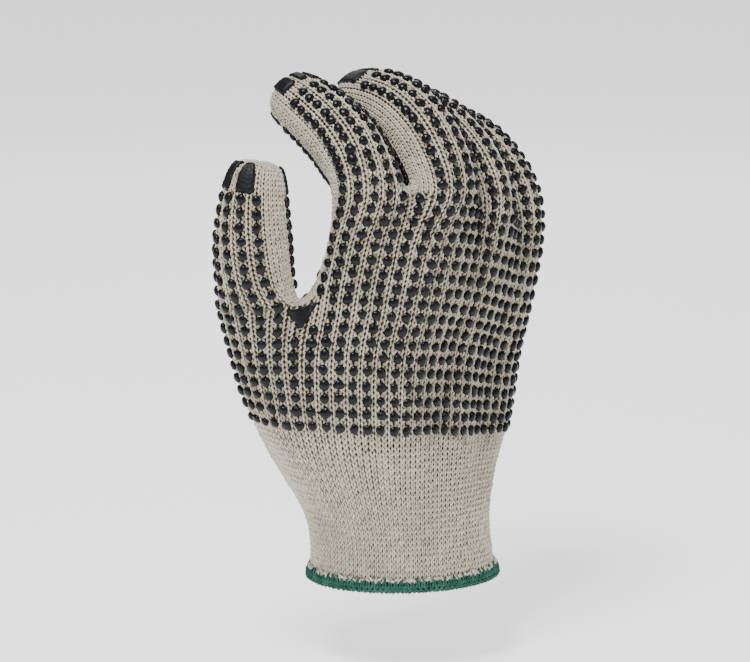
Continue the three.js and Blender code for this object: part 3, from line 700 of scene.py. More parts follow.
class Sheet:
    """A stretch of knit. place(wale, course) gives points and normals of its outer face."""

    def __init__(self, ids, marks, closed, first_row=0, even=(), reach=(EDGE_REACH, EDGE_REACH)):
        margin = GRID if closed else 0
        if closed:
            ids = np.concatenate([ids[:, -1 - margin:-1], ids, ids[:, 1:1 + margin]], 1)
        points = FORM.points[ids]
        normals = FORM.normals[ids]
        columns = (np.arange(points.shape[1]) - margin) / GRID
        self.closed = closed
        self.reach = reach
        self.from_cuff = False
        self.wales = marks[-1][0]
        self.rows = first_row + np.arange(points.shape[0]) / GRID
        wales = np.linspace(0, self.wales, self.wales * TABLE_STEPS + 1)
        column_of = read_marks(wales, marks)
        self.points = np.zeros((len(self.rows), len(wales), 3))
        self.normals = np.zeros_like(self.points)
        for r, row in enumerate(self.rows):
            run = running_length(points[r])
            along = np.interp(column_of, columns, run)
            for ends, change in even:
                end_runs = np.interp([end[1] for end in ends], columns, run)
                spread = np.interp(wales, [end[0] for end in ends], end_runs)
                share = smoothstep(row, *change)
                along = along * share + spread * (1 - share)
            for k in range(3):
                self.points[r, :, k] = np.interp(along, run, points[r, :, k])
                self.normals[r, :, k] = np.interp(along, run, normals[r, :, k])

    def run_along(self, wale):
        """Length passed along one wale, row by row."""
        return running_length(self.points[:, int(wale * TABLE_STEPS)])

    def set_courses(self, pitch, wale):
        """Shares the sheet's length along one wale out among whole courses."""
        run = self.run_along(wale)
        self.courses = max(2, round(run[-1] / pitch))
        self.course_of_row = run / run[-1] * self.courses

    def place(self, wale, course):
        """Points and normals at fractional wales and courses, also a little past the sheet."""
        steps = np.diff(self.course_of_row)
        row = np.interp(course, self.course_of_row, np.arange(len(self.rows)))
        row += np.minimum(course, 0) / steps[0]
        row += np.maximum(course - self.courses, 0) / steps[-1]
        return self.look_up(wale, row)

    def place_at_row(self, wale, row):
        """Points and normals at fractional wales and cage rows."""
        return self.look_up(wale, (row - self.rows[0]) * GRID)

    def look_up(self, wale, row):
        """Points and normals at fractional wales and table rows."""
        last_row, last_step = len(self.rows) - 1, self.points.shape[1] - 1
        step = np.asarray(wale, float) * TABLE_STEPS
        if self.closed:
            step = step % last_step
        step = np.clip(step, 0, last_step)
        row = np.clip(row, -ROWS_PAST, last_row + ROWS_PAST)
        j = np.minimum(step.astype(int), last_step - 1)
        i = np.minimum(row.astype(int), last_row - 1)
        u = (step - j)[..., None]
        v = (row - i)[..., None]
        found = []
        for table in (self.points, self.normals):
            low = table[i, j] * (1 - u) + table[i, j + 1] * u
            high = table[i + 1, j] * (1 - u) + table[i + 1, j + 1] * u
            found.append(low * (1 - v) + high * v)
        return found[0], unit(found[1])


def ray_marks(rays, turned=True):
    """Pairs of wale and cage column round a ring of rays: back, side, palm, side."""
    marks = []
    wale = column = 0
    for ring in (rays, rays[::-1]):
        for name in ring:
            turn = WALE_TURN[name] if turned else 0
            wales = DOT_COLUMNS[name] * WALES_PER_DOT
            marks += [(wale, column + turn), (wale + wales, column + RAY_COLUMNS - 1 + turn)]
            wale += wales + WALES_PER_DOT
            column += RAY_COLUMNS
        wale += SIDE_WALES - WALES_PER_DOT
    return marks + [(wale, column + marks[0][1])]


def back_wales(rays):
    """Number of wales over the back of some neighbouring rays."""
    return (sum(DOT_COLUMNS[name] for name in rays) + len(rays) - 1) * WALES_PER_DOT


def even_marks(rays, ends):
    """Marks that end the even stretches: at some wales of the back and the same ones of the palm."""
    palm_end = 2 * back_wales(rays) + SIDE_WALES
    wales = ends + [palm_end - wale for wale in ends] + [palm_end + SIDE_WALES]
    return [mark for mark in ray_marks(rays, turned=False) if mark[0] in wales]


def hand_sheet():
    """The knit from the cuff's edge to the crotch of the thumb."""
    half = back_wales(RAYS)
    thumb = back_wales(RAYS[:1])
    round_the_hand = (0, half, 2 * (half + SIDE_WALES))
    even = [
        (even_marks(RAYS, [0, thumb, thumb + WALES_PER_DOT, half]), THUMB_TO_FINGERS),
        ([mark for mark in ray_marks(RAYS, turned=False) if mark[0] in round_the_hand], ROUND_TO_THUMB),
    ]
    ids = FORM.part_ids("hand", len(HAND_LEVELS) - 1, RING_COLUMNS, closed=True)
    hand = Sheet(ids, ray_marks(RAYS), True, 0, even, (EDGE_REACH, JOINT_REACH))
    hand.from_cuff = True
    hand.set_courses(COURSE_PITCH["palm"], half / 2)
    return hand


def knuckle_sheet():
    """The knit from the crotch of the thumb to the roots of the fingers."""
    fingers = RAYS[1:]
    even = [(even_marks(fingers, [0, back_wales(fingers)]), THUMB_TO_FINGERS)]
    ids = FORM.part_ids("knuckles", len(KNUCKLE_LEVELS), RING_COLUMNS - 2 * RAY_COLUMNS, closed=True)
    first_row = len(HAND_LEVELS) - 1
    knuckles = Sheet(ids, ray_marks(fingers), True, first_row, even, (JOINT_REACH, JOINT_REACH))
    knuckles.set_courses(COURSE_PITCH["palm"], back_wales(fingers) / 2)
    return knuckles


def crotch_sheet(gap):
    """The knit between two neighbouring digits."""
    sheet = Sheet(FORM.part_ids("crotch_%d" % gap, 1, 1, closed=False).T, [(0, 0), (SIDE_WALES, 1)], False)
    sheet.set_courses(COURSE_PITCH["gap"], SIDE_WALES // 2)
    return sheet


def digit_sheets(name):
    """The shaft of a digit and the cap over its tip."""
    wales = back_wales([name])
    ids = FORM.part_ids(name, len(DIGITS[name]["segments"]), 2 * RAY_COLUMNS, closed=True)
    shaft = Sheet(ids, ray_marks([name]), True, reach=(JOINT_REACH, EDGE_REACH))
    cap_columns = RAY_COLUMNS - 1
    ids = FORM.part_ids(name + "_cap", 1, cap_columns, closed=False)
    cap = Sheet(ids, [(0, 0), (wales, cap_columns)], False)
    for sheet in (shaft, cap):
        sheet.set_courses(COURSE_PITCH["thumb" if name == "thumb" else "finger"], wales / 2)
    return [shaft, cap]


def make_sheets():
    """For each piece of knit its sheets, each with the courses that belong to the piece."""
    hand = hand_sheet()
    row_of_course = np.interp(np.arange(hand.courses) + 0.5, hand.course_of_row, hand.rows)
    sheets = {}
    for name, (first, last) in HAND_PIECES.items():
        courses = np.flatnonzero((row_of_course >= first) & (row_of_course < last))
        sheets[name] = [(hand, courses)]
    whole = {"knuckle_knit": [knuckle_sheet()] + [crotch_sheet(gap) for gap in range(len(RAYS) - 1)]}
    for name in RAYS:
        whole[name + "_knit"] = digit_sheets(name)
    for name, parts in whole.items():
        sheets[name] = [(sheet, range(sheet.courses)) for sheet in parts]
    return sheets


# Meshes

def make_object(name, points, quads, material, uv=None, triangles=None, depth=None):
    """A mesh object from arrays of points (millimetres), quads and triangles."""
    quads = np.asarray(quads, np.int32).reshape(-1, 4)
    loops = quads.ravel()
    sizes = np.full(len(quads), 4, np.int32)
    if triangles is not None:
        loops = np.concatenate([loops, np.asarray(triangles, np.int32).ravel()])
        sizes = np.concatenate([sizes, np.full(len(triangles), 3, np.int32)])
    mesh = bpy.data.meshes.new(name)
    mesh.vertices.add(len(points))
    mesh.vertices.foreach_set("co", (np.asarray(points, np.float32) * MM).ravel())
    mesh.loops.add(len(loops))
    mesh.loops.foreach_set("vertex_index", loops)
    mesh.polygons.add(len(sizes))
    starts = np.concatenate([[0], np.cumsum(sizes)[:-1]]).astype(np.int32)
    mesh.polygons.foreach_set("loop_start", starts)
    mesh.polygons.foreach_set("use_smooth", np.ones(len(sizes), bool))
    if uv is not None:
        layer = mesh.uv_layers.new(name="yarn")
        layer.data.foreach_set("uv", np.asarray(uv, np.float32).ravel())
    # depth: how far each point lies below the knit's face, used by the yarn material for painted shade.
    if depth is not None:
        layer = mesh.attributes.new("depth", "FLOAT", "POINT")
        layer.data.foreach_set("value", np.asarray(depth, np.float32))
    mesh.update(calc_edges=True)
    mesh.validate()
    mesh.materials.append(material)
    piece = bpy.data.objects.new(name, mesh)
    bpy.context.scene.collection.objects.link(piece)
    return piece


def finish_piece(piece, slot, *nodes):
    """Says what a finished piece rides on and which parts it stands for."""
    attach(piece, "root")
    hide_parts(*nodes)


class Bundle:
    """Points and faces of many tubes or domes gathered into one mesh."""

    def __init__(self):
        self.parts = {"points": [], "quads": [], "uv": [], "triangles": [], "depth": []}
        self.count = 0

    def add(self, points, quads, uv=None, triangles=None, depth=None):
        self.parts["points"].append(points.reshape(-1, 3))
        self.parts["quads"].append(quads.reshape(-1, 4) + self.count)
        if uv is not None:
            self.parts["uv"].append(uv.reshape(-1, 2))
        if triangles is not None:
            self.parts["triangles"].append(triangles + self.count)
        if depth is not None:
            self.parts["depth"].append(depth.ravel())
        self.count += len(self.parts["points"][-1])

    def to_object(self, name, material):
        found = {key: np.concatenate(parts) for key, parts in self.parts.items() if parts}
        if "uv" in found and "triangles" in found:
            found["uv"] = np.concatenate([found["uv"], np.zeros((found["triangles"].size, 2))])
        return make_object(name, material=material, **found)


def tube(bundle, path, outward, radii, closed, sides=4, below=None):
    """A tube along a path (k, 3). outward points away from the knit, below is the path's depth."""
    count = len(path)
    if closed:
        tangent = unit(np.roll(path, -1, 0) - np.roll(path, 1, 0))
    else:
        tangent = unit(np.gradient(path, axis=0))
    out = unit(outward - tangent * (outward * tangent).sum(1, keepdims=True))
    side = np.cross(tangent, out)
    angles = np.arange(sides) * 2 * math.pi / sides
    ring = out[:, None] * np.cos(angles)[:, None] + side[:, None] * np.sin(angles)[:, None]
    points = path[:, None] + ring * radii[:, None, None]
    depth = None if below is None else below[:, None] - radii[:, None] * np.cos(angles)
    k = np.arange(count if closed else count - 1)
    j = np.arange(sides)
    here, there = k[:, None] * sides, ((k + 1) % count)[:, None] * sides
    after = (j + 1) % sides
    quads = np.stack([here + j, there + j, there + after, here + after], -1)
    run = running_length(np.concatenate([path, path[:1]]))
    start, end, low, high = (
        np.broadcast_to(values, quads.shape[:2])
        for values in (run[k][:, None], run[k + 1][:, None], j / sides, (j + 1) / sides))
    corners = ((start, low), (end, low), (end, high), (start, high))
    uv = np.stack([np.stack(corner, -1) for corner in corners], 2)
    triangles = None
    if not closed:
        last = (count - 1) * sides
        fan = [(0, k, k + 1) for k in range(1, sides - 1)]
        fan += [(last, last + k + 1, last + k) for k in range(1, sides - 1)]
        triangles = np.array(fan)
    bundle.add(points, quads, uv, triangles, depth)


def stitch_path(sheet, course):
    """One course of yarn: the path of its loops, the way out, the radii and the path's depth."""
    wales = sheet.wales
    t = np.arange(wales * STITCH_STEPS + (0 if sheet.closed else 1)) * 2 * math.pi / STITCH_STEPS
    stitch = (np.arange(len(t)) // STITCH_STEPS) % wales
    wobble = rng.normal(0, STITCH_UNEVEN["height"], wales)[stitch]
    lift = rng.normal(0, STITCH_UNEVEN["depth"], wales)[stitch]
    middle = np.full(wales, course + 0.5)
    left, _ = sheet.place(np.arange(wales), middle)
    right, _ = sheet.place(np.arange(wales) + 0.999, middle)
    scale = np.clip(np.linalg.norm(right - left, axis=1) / FULL_WALE, *YARN_SCALE)[stitch]
    height = -STITCH_REACH * np.cos(t)
    level = np.interp(course, sheet.course_of_row, sheet.rows)
    share = smoothstep(level, *SKEW_ROWS) if sheet.from_cuff else 1
    skew = STITCH_SKEW[0] + (STITCH_SKEW[1] - STITCH_SKEW[0]) * share
    across = t / (2 * math.pi) + LOOP_PINCH * np.sin(2 * t) + LOOP_SWELL * np.sin(t) + skew * height
    low, high = -sheet.reach[0], sheet.courses + sheet.reach[1]
    points, normals = sheet.place(across, np.clip(course + 0.5 + height + wobble, low, high))
    radii = YARN_RADIUS * np.array(YARN_SHAPE)[np.arange(len(t)) % STITCH_STEPS]
    radii = radii * scale * (1 + rng.normal(0, STITCH_UNEVEN["radius"], wales)[stitch])
    below = YARN_RADIUS + STITCH_DEPTH * scale * (1 + np.cos(2 * t)) - lift
    return points - normals * below[:, None], normals, radii, below


def knit_piece(name, sheets, material):
    """All courses of some sheets as one mesh of yarn."""
    bundle = Bundle()
    for sheet, courses in sheets:
        for course in courses:
            path, normals, radii, below = stitch_path(sheet, course)
            tube(bundle, path, normals, radii, sheet.closed, below=below)
    return bundle.to_object(name, material)


def inner_face(name, outer_material, inner_material):
    """The closed wall behind the stitches, open at the cuff."""
    points, faces = FORM.levels[2]
    normals = point_normals(points, faces)
    outer = points - normals * INNER_FACE_TOP
    inner = points - normals * KNIT_WALL
    count = len(points)
    ends = np.stack([faces, np.roll(faces, -1, 1)], -1).reshape(-1, 2)
    keys = np.sort(ends, 1)
    keys = keys[:, 0] * count + keys[:, 1]
    values, uses = np.unique(keys, return_counts=True)
    rim = ends[np.isin(keys, values[uses == 1])]
    rim_quads = np.stack([rim[:, 1], rim[:, 0], rim[:, 0] + count, rim[:, 1] + count], 1)
    quads = np.concatenate([faces, faces[:, ::-1] + count, rim_quads])
    piece = make_object(name, np.concatenate([outer, inner]), quads, outer_material)
    piece.data.materials.append(inner_material)
    index = np.zeros(len(quads), np.int32)
    index[len(faces):] = 1
    piece.data.polygons.foreach_set("material_index", index)
    return piece


# Grip dots and patches

def dot_at(sheet, wale, row):
    """Point, normal and up direction of one dot."""
    wale = np.array([wale + rng.normal(0, DOT_SLIP["wale"])])
    point, normal = sheet.place_at_row(wale, np.array([row + rng.normal(0, DOT_SLIP["row"])]))
    above, _ = sheet.place_at_row(wale, np.array([row + 0.1]))
    below, _ = sheet.place_at_row(wale, np.array([row - 0.1]))
    return point[0], normal[0], unit(above - below)[0]


def dot_rows(sheet, rays, start, top, sag_from=None):
    """Rows of dots on back and palm, and how far the next row lies past the sheet's end.

    start is a length along the middle of the back, top the cage row where the dots end, and
    sag_from the first dot column of the index finger."""
    half = back_wales(rays)
    run = sheet.run_along(half / 2)
    found = []
    passed = start
    while passed < np.interp(top, sheet.rows, run):
        level = np.interp(passed, run, sheet.rows)
        fade = smoothstep(level, *SAG_ROWS) if sheet.from_cuff else 1
        for first in (0, half + SIDE_WALES):
            for k in range(half // WALES_PER_DOT):
                sag = 0
                if first == 0 and sag_from is not None and 0 <= k - sag_from < len(INDEX_SAG):
                    sag = INDEX_SAG[k - sag_from] * fade
                row = np.interp(passed - sag, run, sheet.rows)
                found.append(dot_at(sheet, first + (k + 0.5) * WALES_PER_DOT, row))
        passed += DOT_ROW_PITCH
    return found, passed - run[-1]


def dot_places(sheets, patch_points):
    """Point, normal and up direction of every dot that stays clear of the patches."""
    hand, knuckles = sheets["palm_knit"][0][0], sheets["knuckle_knit"][0][0]
    start = np.interp(FIRST_DOT_ROW, hand.rows, hand.run_along(back_wales(RAYS) / 2))
    found, carried = dot_rows(hand, RAYS, start, hand.rows[-1], DOT_COLUMNS["thumb"] + 1)
    thumb_top = TIP_PATCH_ROWS["thumb"][0] - DOTS_BELOW_PATCH["thumb"]
    found += dot_rows(sheets["thumb_knit"][0][0], ["thumb"], carried, thumb_top)[0]
    more, carried = dot_rows(knuckles, RAYS[1:], carried, knuckles.rows[-1], 0)
    found += more
    finger_top = TIP_PATCH_ROWS["finger"][0] - DOTS_BELOW_PATCH["finger"]
    for name in RAYS[1:]:
        sag_from = 0 if name == "index_finger" else None
        found += dot_rows(sheets[name + "_knit"][0][0], [name], carried, finger_top, sag_from)[0]
    return [
        place for place in found
        if np.linalg.norm(patch_points - place[0], axis=1).min() > DOT_TO_PATCH
    ]


def dot_faces():
    """Quads and triangles of one dot: rings from its foot up, then the peak and the foot."""
    k = np.arange(DOT_SECTORS)
    after = (k + 1) % DOT_SECTORS
    last = (len(DOT_RINGS) - 1) * DOT_SECTORS
    peak = np.full(DOT_SECTORS, last + DOT_SECTORS)
    band = np.stack([k, after, after + DOT_SECTORS, k + DOT_SECTORS], 1)
    quads = np.concatenate([band + ring * DOT_SECTORS for ring in range(len(DOT_RINGS) - 1)])
    top_fan = np.stack([last + k, last + after, peak], 1)
    foot_fan = np.stack([after, k, peak + 1], 1)
    return quads, np.concatenate([top_fan, foot_fan])


def dot_mesh(name, places, material):
    """Each dot is an uneven dome with a small point, sunk into the stitches."""
    bundle = Bundle()
    quads, triangles = dot_faces()
    angle = np.arange(DOT_SECTORS) * 2 * math.pi / DOT_SECTORS
    for point, normal, up in places:
        across = np.cross(up, normal)
        size = DOT_RADIUS * rng.normal(1.0, 0.055)
        stretch = rng.normal(1.05, 0.05)
        lobes = np.zeros(DOT_SECTORS)
        for folds, swing in DOT_LOBES:
            lobes += swing * rng.normal() * np.cos(folds * angle + rng.uniform(0, 6.28))
        lean = rng.normal(0, 0.12, 2) + np.array([0, 0.1])
        points = []
        for radius, height in DOT_RINGS:
            share = max(height, 0) / DOT_HEIGHT
            reach = size * radius * (1 + lobes * (1 - share * 0.6))
            x = reach * np.cos(angle) / stretch + lean[0] * share
            y = reach * np.sin(angle) * stretch + lean[1] * share
            points.append(point + np.outer(x, across) + np.outer(y, up) + normal * height)
        peak = DOT_HEIGHT * rng.normal(0.98, 0.06)
        points.append([point + (across * lean[0] + up * lean[1]) * 1.3 + normal * peak])
        points.append([point - normal * DOT_SINK])
        bundle.add(np.concatenate(points), quads, None, triangles)
    return bundle.to_object(name, material)


def patch_piece(name, sheet, edges, face, material, across=11, along=26):
    """A soft plate over the stitches, and the points that it covers.

    edges(share) gives the row and the left and right wale at a share of the length. rise
    rounds the plate's edge off, rim is the raised line inside it and weave the print of the
    stitches."""
    steps = np.linspace(0, 1, along)
    shares = np.linspace(0, 1, across)
    rows, left, right = np.array([edges(step) for step in steps]).T[..., None]
    row = np.repeat(rows, across, 1)
    wale = left + (right - left) * shares
    wale[:, 0] += rng.normal(0, PATCH_RAGGED, along)
    wale[:, -1] += rng.normal(0, PATCH_RAGGED, along)
    points, normals = sheet.place_at_row(wale, row)
    edge = np.minimum.outer(np.minimum(steps, 1 - steps) * 3.2, np.minimum(shares, 1 - shares) * 2.6)
    rise = np.clip(edge * 3.5, 0, 1) ** 0.5
    rim = np.exp(-((edge - 0.28) / 0.2) ** 2)
    weave = 0.1 * np.cos(2 * math.pi * wale) * np.cos(2 * math.pi * row * 6)
    height = -0.25 + 0.85 * rise + 0.16 * rim + weave * rise + rng.normal(0, 0.05, rise.shape)
    top = points + normals * height[..., None]
    bottom = points - normals * 0.5
    if face == "palm":
        top, bottom = top[:, ::-1], bottom[:, ::-1]
    ids = np.arange(along * across).reshape(along, across)
    low = ids + along * across
    border = np.concatenate([ids[0, :], ids[1:, -1], ids[-1, -2::-1], ids[-2:0:-1, 0]])
    after = np.roll(border, -1)
    quads = np.concatenate([
        np.stack([ids[:-1, :-1], ids[:-1, 1:], ids[1:, 1:], ids[1:, :-1]], -1).reshape(-1, 4),
        np.stack([low[:-1, :-1], low[1:, :-1], low[1:, 1:], low[:-1, 1:]], -1).reshape(-1, 4),
        np.stack([border + along * across, after + along * across, after, border], -1),
    ])
    bundle = Bundle()
    bundle.add(np.concatenate([top.reshape(-1, 3), bottom.reshape(-1, 3)]), quads)
    finish_piece(bundle.to_object(name + "_print", material), "grip", name)
    return points.reshape(-1, 3)


def tip_patch(sheet, digit, face, name, patch, material):
    """One printed patch at a fingertip."""
    start, end = TIP_PATCH_ROWS["thumb" if digit == "thumb" else "finger"]
    wales = back_wales([digit])
    width = patch["to"] - patch["from"]

    def to_wale(column):
        if face == "palm":
            return wales + SIDE_WALES + (RAY_COLUMNS - 1 - column) * wales / (RAY_COLUMNS - 1)
        return column * wales / (RAY_COLUMNS - 1)

    def edges(share):
        cut = (max(0, share - 0.45) / 0.55) ** 1.5
        near_end = max(0, 1 - min(share, 1 - share) / 0.12)
        rounded = PATCH_CORNER * width * (1 - math.sqrt(1 - near_end ** 2))
        shift = patch["lean"] * share ** 2
        left = patch["from"] + patch["cut"][0] * width * cut + rounded + shift
        right = patch["to"] - patch["cut"][1] * width * cut - rounded + shift
        return start + (end - start) * share, to_wale(left), to_wale(right)

    return patch_piece("%s_%s_%s" % (digit, face, name), sheet, edges, face, material)


def crotch_patch(hand, face, material):
    """The printed triangle in the fork of the thumb."""
    marks = [mark[::-1] for mark in ray_marks(RAYS, turned=False)]
    outline = np.array(CROTCH_OUTLINE)
    rows = np.arange(len(outline))

    def to_wale(column):
        return read_marks(RING_COLUMNS - 1 - column if face == "palm" else column, marks)

    def edges(share):
        row, left, right = (np.interp(share * rows[-1], rows, outline[:, k]) for k in range(3))
        return row, to_wale(left), to_wale(right)

    return patch_piece("thumb_crotch_%s_patch" % face, hand, edges, face, material, across=13, along=16)


def all_patches(sheets, material):
    """Every fingertip patch and crotch patch, with the points that they cover."""
    covered = []
    for digit in RAYS:
        for face in ("back", "palm"):
            for name, patch in TIP_PATCHES["thumb" if digit == "thumb" else "finger"].items():
                covered.append(tip_patch(sheets[digit + "_knit"][0][0], digit, face, name, patch, material))
    for face in ("back", "palm"):
        covered.append(crotch_patch(sheets["palm_knit"][0][0], face, material))
    return np.concatenate(covered)


# The overlocked hem

def hem_frame(hand):
    """Points round the cuff's lower edge with the outward and the upward direction."""
    steps = hand.wales * TABLE_STEPS
    wales = np.arange(steps) / TABLE_STEPS
    low, _ = hand.place_at_row(wales, np.zeros(steps))
    high, _ = hand.place_at_row(wales, np.full(steps, 0.5))
    along = np.roll(low, -1, 0) - np.roll(low, 1, 0)
    along[:, 2] = 0
    along = unit(along)
    out = np.stack([along[:, 1], -along[:, 0], np.zeros(steps)], 1)
    wall = high - low
    return low, out, wall / wall[:, 2:3]


def hem_strand(frame, stations, profile):
    """A path given at stations round the hem (0 to 1) by reach and height."""
    count = len(frame[0])
    at = (np.asarray(stations) % 1) * count
    i = at.astype(int) % count
    f = (at - at.astype(int))[:, None]
    base, out, rise = (values[i] * (1 - f) + values[(i + 1) % count] * f for values in frame)
    out = unit(out)
    return base + out * profile[:, 0:1] + rise * profile[:, 1:2], out


def hem_band(frame, material):
    """The thread under the loops, as a channel round the edge; its dark colour is painted shade in the gaps
    between the loops.
    """
    base, out, rise = (values[::HEM_CORE_STEP] for values in frame)
    rings = np.stack([base + out * reach + rise * height for reach, height in HEM_CORE], 1)
    count, size = rings.shape[:2]
    k, p = np.meshgrid(np.arange(count), np.arange(size), indexing="ij")
    after, q = (k + 1) % count, (p + 1) % size
    quads = np.stack([k * size + p, after * size + p, after * size + q, k * size + q], -1)
    return make_object("cuff_hem_core", rings.reshape(-1, 3), quads, material)


def hem_loops(frame, material):
    """Overlock thread: slanted teeth over the edge, two waves in front and a chain below."""
    bundle = Bundle()

    def add_strand(stations, profile, radius):
        path, outward = hem_strand(frame, stations, profile)
        tube(bundle, path, outward, np.full(len(path), radius), True, sides=5)

    tooth = np.array(HEM_TOOTH)
    stations = ((np.arange(HEM_TEETH)[:, None] + tooth[:, 0]) / HEM_TEETH).ravel()
    profile = np.tile(tooth[:, 1:], (HEM_TEETH, 1))
    profile[HEM_TOOTH_TIP::len(tooth), 1] += rng.normal(0, 0.35, HEM_TEETH)
    profile += rng.normal(0, 0.07, profile.shape)
    add_strand(stations, profile, 0.36)
    for strand, wave in enumerate(HEM_WAVES):
        steps = wave["turns"] * 6
        t = (np.arange(steps) / 6 + wave["phase"]) * 2 * math.pi
        height = (wave["low"] + wave["high"]) / 2 + (wave["high"] - wave["low"]) / 2 * np.sin(t)
        push = wave["reach"] + 0.25 * np.sin(2 * t + strand)
        profile = np.stack([push, height], 1) + rng.normal(0, 0.06, (steps, 2))
        add_strand(np.arange(steps) / steps + 0.32 / wave["turns"] * np.sin(2 * t), profile, wave["radius"])
    steps = HEM_CHAIN_TURNS * 7
    t = np.arange(steps) / 7 * 2 * math.pi
    reach = -KNIT_WALL / 2 + (KNIT_WALL / 2 + 0.75) * np.cos(t)
    add_strand(np.arange(steps) / steps, np.stack([reach, -0.55 + 0.6 * np.sin(t)], 1), 0.36)
    return bundle.to_object("cuff_hem_loops", material)


def ragged_ends(frame, material):
    """Cut ends of the knit that stand out of the hem's upper edge."""
    bundle = Bundle()
    for _ in range(RAGGED_ENDS):
        station = rng.uniform()
        bend = rng.normal(0, 0.006)
        length = rng.uniform(0.6, 1.5)
        foot = rng.uniform(2.2, 3.2)
        top = (rng.uniform(-0.4, 0.1), foot + length)
        profile = np.array([(0.45, foot), (0.55, foot + length / 2), top])
        path, outward = hem_strand(frame, [station, station + bend / 2, station + bend], profile)
        tube(bundle, path, outward, rng.uniform(0.28, 0.48) * np.array([1, 0.9, 0.45]), False)
    return bundle.to_object("cuff_ragged_ends", material)


# Materials

class Finish:
    """A material with its shader, and short calls for the nodes that feed it."""

    def __init__(self, name, colour, roughness, specular):
        self.material = bpy.data.materials.new(name)
        self.material.use_nodes = True
        self.shader = self.material.node_tree.nodes["Principled BSDF"]
        self.feed(self.shader.inputs["Base Color"], colour)
        self.feed(self.shader.inputs["Roughness"], roughness)
        self.feed(self.shader.inputs["Specular IOR Level"], specular)
        self.object_place = self.node("TexCoord").outputs["Object"]

    def node(self, kind):
        return self.material.node_tree.nodes.new("ShaderNode" + kind)

    def feed(self, socket, value):
        """Sets a socket to a number or a colour, or links it to another node's output."""
        if isinstance(value, (int, float)):
            socket.default_value = value
        elif isinstance(value, tuple):
            socket.default_value = (*value, 1)
        elif value is not None:
            self.material.node_tree.links.new(value, socket)

    def noise(self, scale, detail):
        node = self.node("TexNoise")
        self.feed(node.inputs["Scale"], scale)
        self.feed(node.inputs["Detail"], detail)
        self.feed(node.inputs["Vector"], self.object_place)
        return node.outputs["Fac"]

    def ramp(self, value, *stops):
        node = self.node("ValToRGB")
        elements = node.color_ramp.elements
        while len(elements) < len(stops):
            elements.new(0.5)
        for element, (position, colour) in zip(elements, stops):
            element.position = position
            element.color = (*colour, 1)
        self.feed(node.inputs["Fac"], value)
        return node.outputs["Color"]

    def math(self, operation, first, second=None):
        node = self.node("Math")
        node.operation = operation
        self.feed(node.inputs[0], first)
        self.feed(node.inputs[1], second)
        return node.outputs["Value"]

    def mix(self, factor, first, second, blend="MIX"):
        node = self.node("Mix")
        node.data_type = "RGBA"
        node.blend_type = blend
        for name, value in (("Factor", factor), ("A", first), ("B", second)):
            self.feed(node.inputs[name], value)
        return node.outputs["Result"]

    def parts(self, kind, name, value):
        """The outputs of a node that takes a vector or a colour apart."""
        node = self.node(kind)
        self.feed(node.inputs[name], value)
        return node.outputs

    def bump(self, height, distance, strength):
        node = self.node("Bump")
        self.feed(node.inputs["Strength"], strength)
        self.feed(node.inputs["Distance"], distance)
        self.feed(node.inputs["Height"], height)
        self.feed(self.shader.inputs["Normal"], node.outputs["Normal"])

    def yarn_height(self, ply_length):
        """Ridges of the twisted plies along a strand, with fuzz over them."""
        strand = self.node("UVMap")
        strand.uv_map = "yarn"
        place = self.parts("SeparateXYZ", "Vector", strand.outputs["UV"])
        twist = self.math("MULTIPLY", place["X"], 1 / ply_length)
        angle = self.math("ADD", twist, self.math("MULTIPLY", place["Y"], 3.0))
        ply = self.math("ABSOLUTE", self.math("SINE", self.math("MULTIPLY", angle, math.pi)))
        return self.math("ADD", ply, self.math("MULTIPLY", self.noise(2600, 2), 0.7))


def cotton():
    """Unbleached recycled cotton string: soft tone changes, ply twist, stray coloured flecks, and painted
    shade that darkens the yarn where it lies deep between the stitches.
    """
    finish = Finish("natural_cotton", (0.62, 0.6, 0.54), 0.95, 0.25)
    finish.feed(finish.shader.inputs["Sheen Weight"], 0.12)
    finish.feed(finish.shader.inputs["Sheen Roughness"], 0.6)
    tone = finish.ramp(finish.noise(45, 2), (0.3, (0.62, 0.575, 0.455)), (0.7, (0.72, 0.68, 0.565)))
    fibre = finish.ramp(finish.noise(900, 3), (0.35, (0.78, 0.77, 0.74)), (0.65, (1, 1, 1)))
    colour = finish.mix(1.0, tone, fibre, "MULTIPLY")
    cells = finish.node("TexVoronoi")
    finish.feed(cells.inputs["Scale"], 170)
    finish.feed(cells.inputs["Vector"], finish.object_place)
    cell_colour = finish.parts("SeparateColor", "Color", cells.outputs["Color"])
    near = finish.math("LESS_THAN", cells.outputs["Distance"], 0.085)
    few = finish.math("GREATER_THAN", cell_colour["Red"], 0.86)
    fleck = finish.math("MULTIPLY", finish.math("MULTIPLY", near, few), 0.75)
    hue = finish.ramp(cell_colour["Green"], (0, (0.62, 0.55, 0.12)), (0.35, (0.5, 0.36, 0.16)),
                      (0.6, (0.6, 0.3, 0.3)), (0.85, (0.2, 0.22, 0.42)))
    colour = finish.mix(fleck, colour, hue)
    # Painted shade: the colour darkens with the yarn's depth below the knit's face, standing in for the
    # shade between stitches.
    depth = finish.node("Attribute")
    depth.attribute_name = "depth"
    shade = finish.ramp(depth.outputs["Fac"], (0.22, (1, 1, 1)), (0.6, (0.62, 0.57, 0.48)),
                        (0.95, (0.3, 0.26, 0.2)))
    finish.feed(finish.shader.inputs["Base Color"], finish.mix(1.0, colour, shade, "MULTIPLY"))
    finish.bump(finish.yarn_height(1.1), 0.00009, 0.8)
    return finish.material


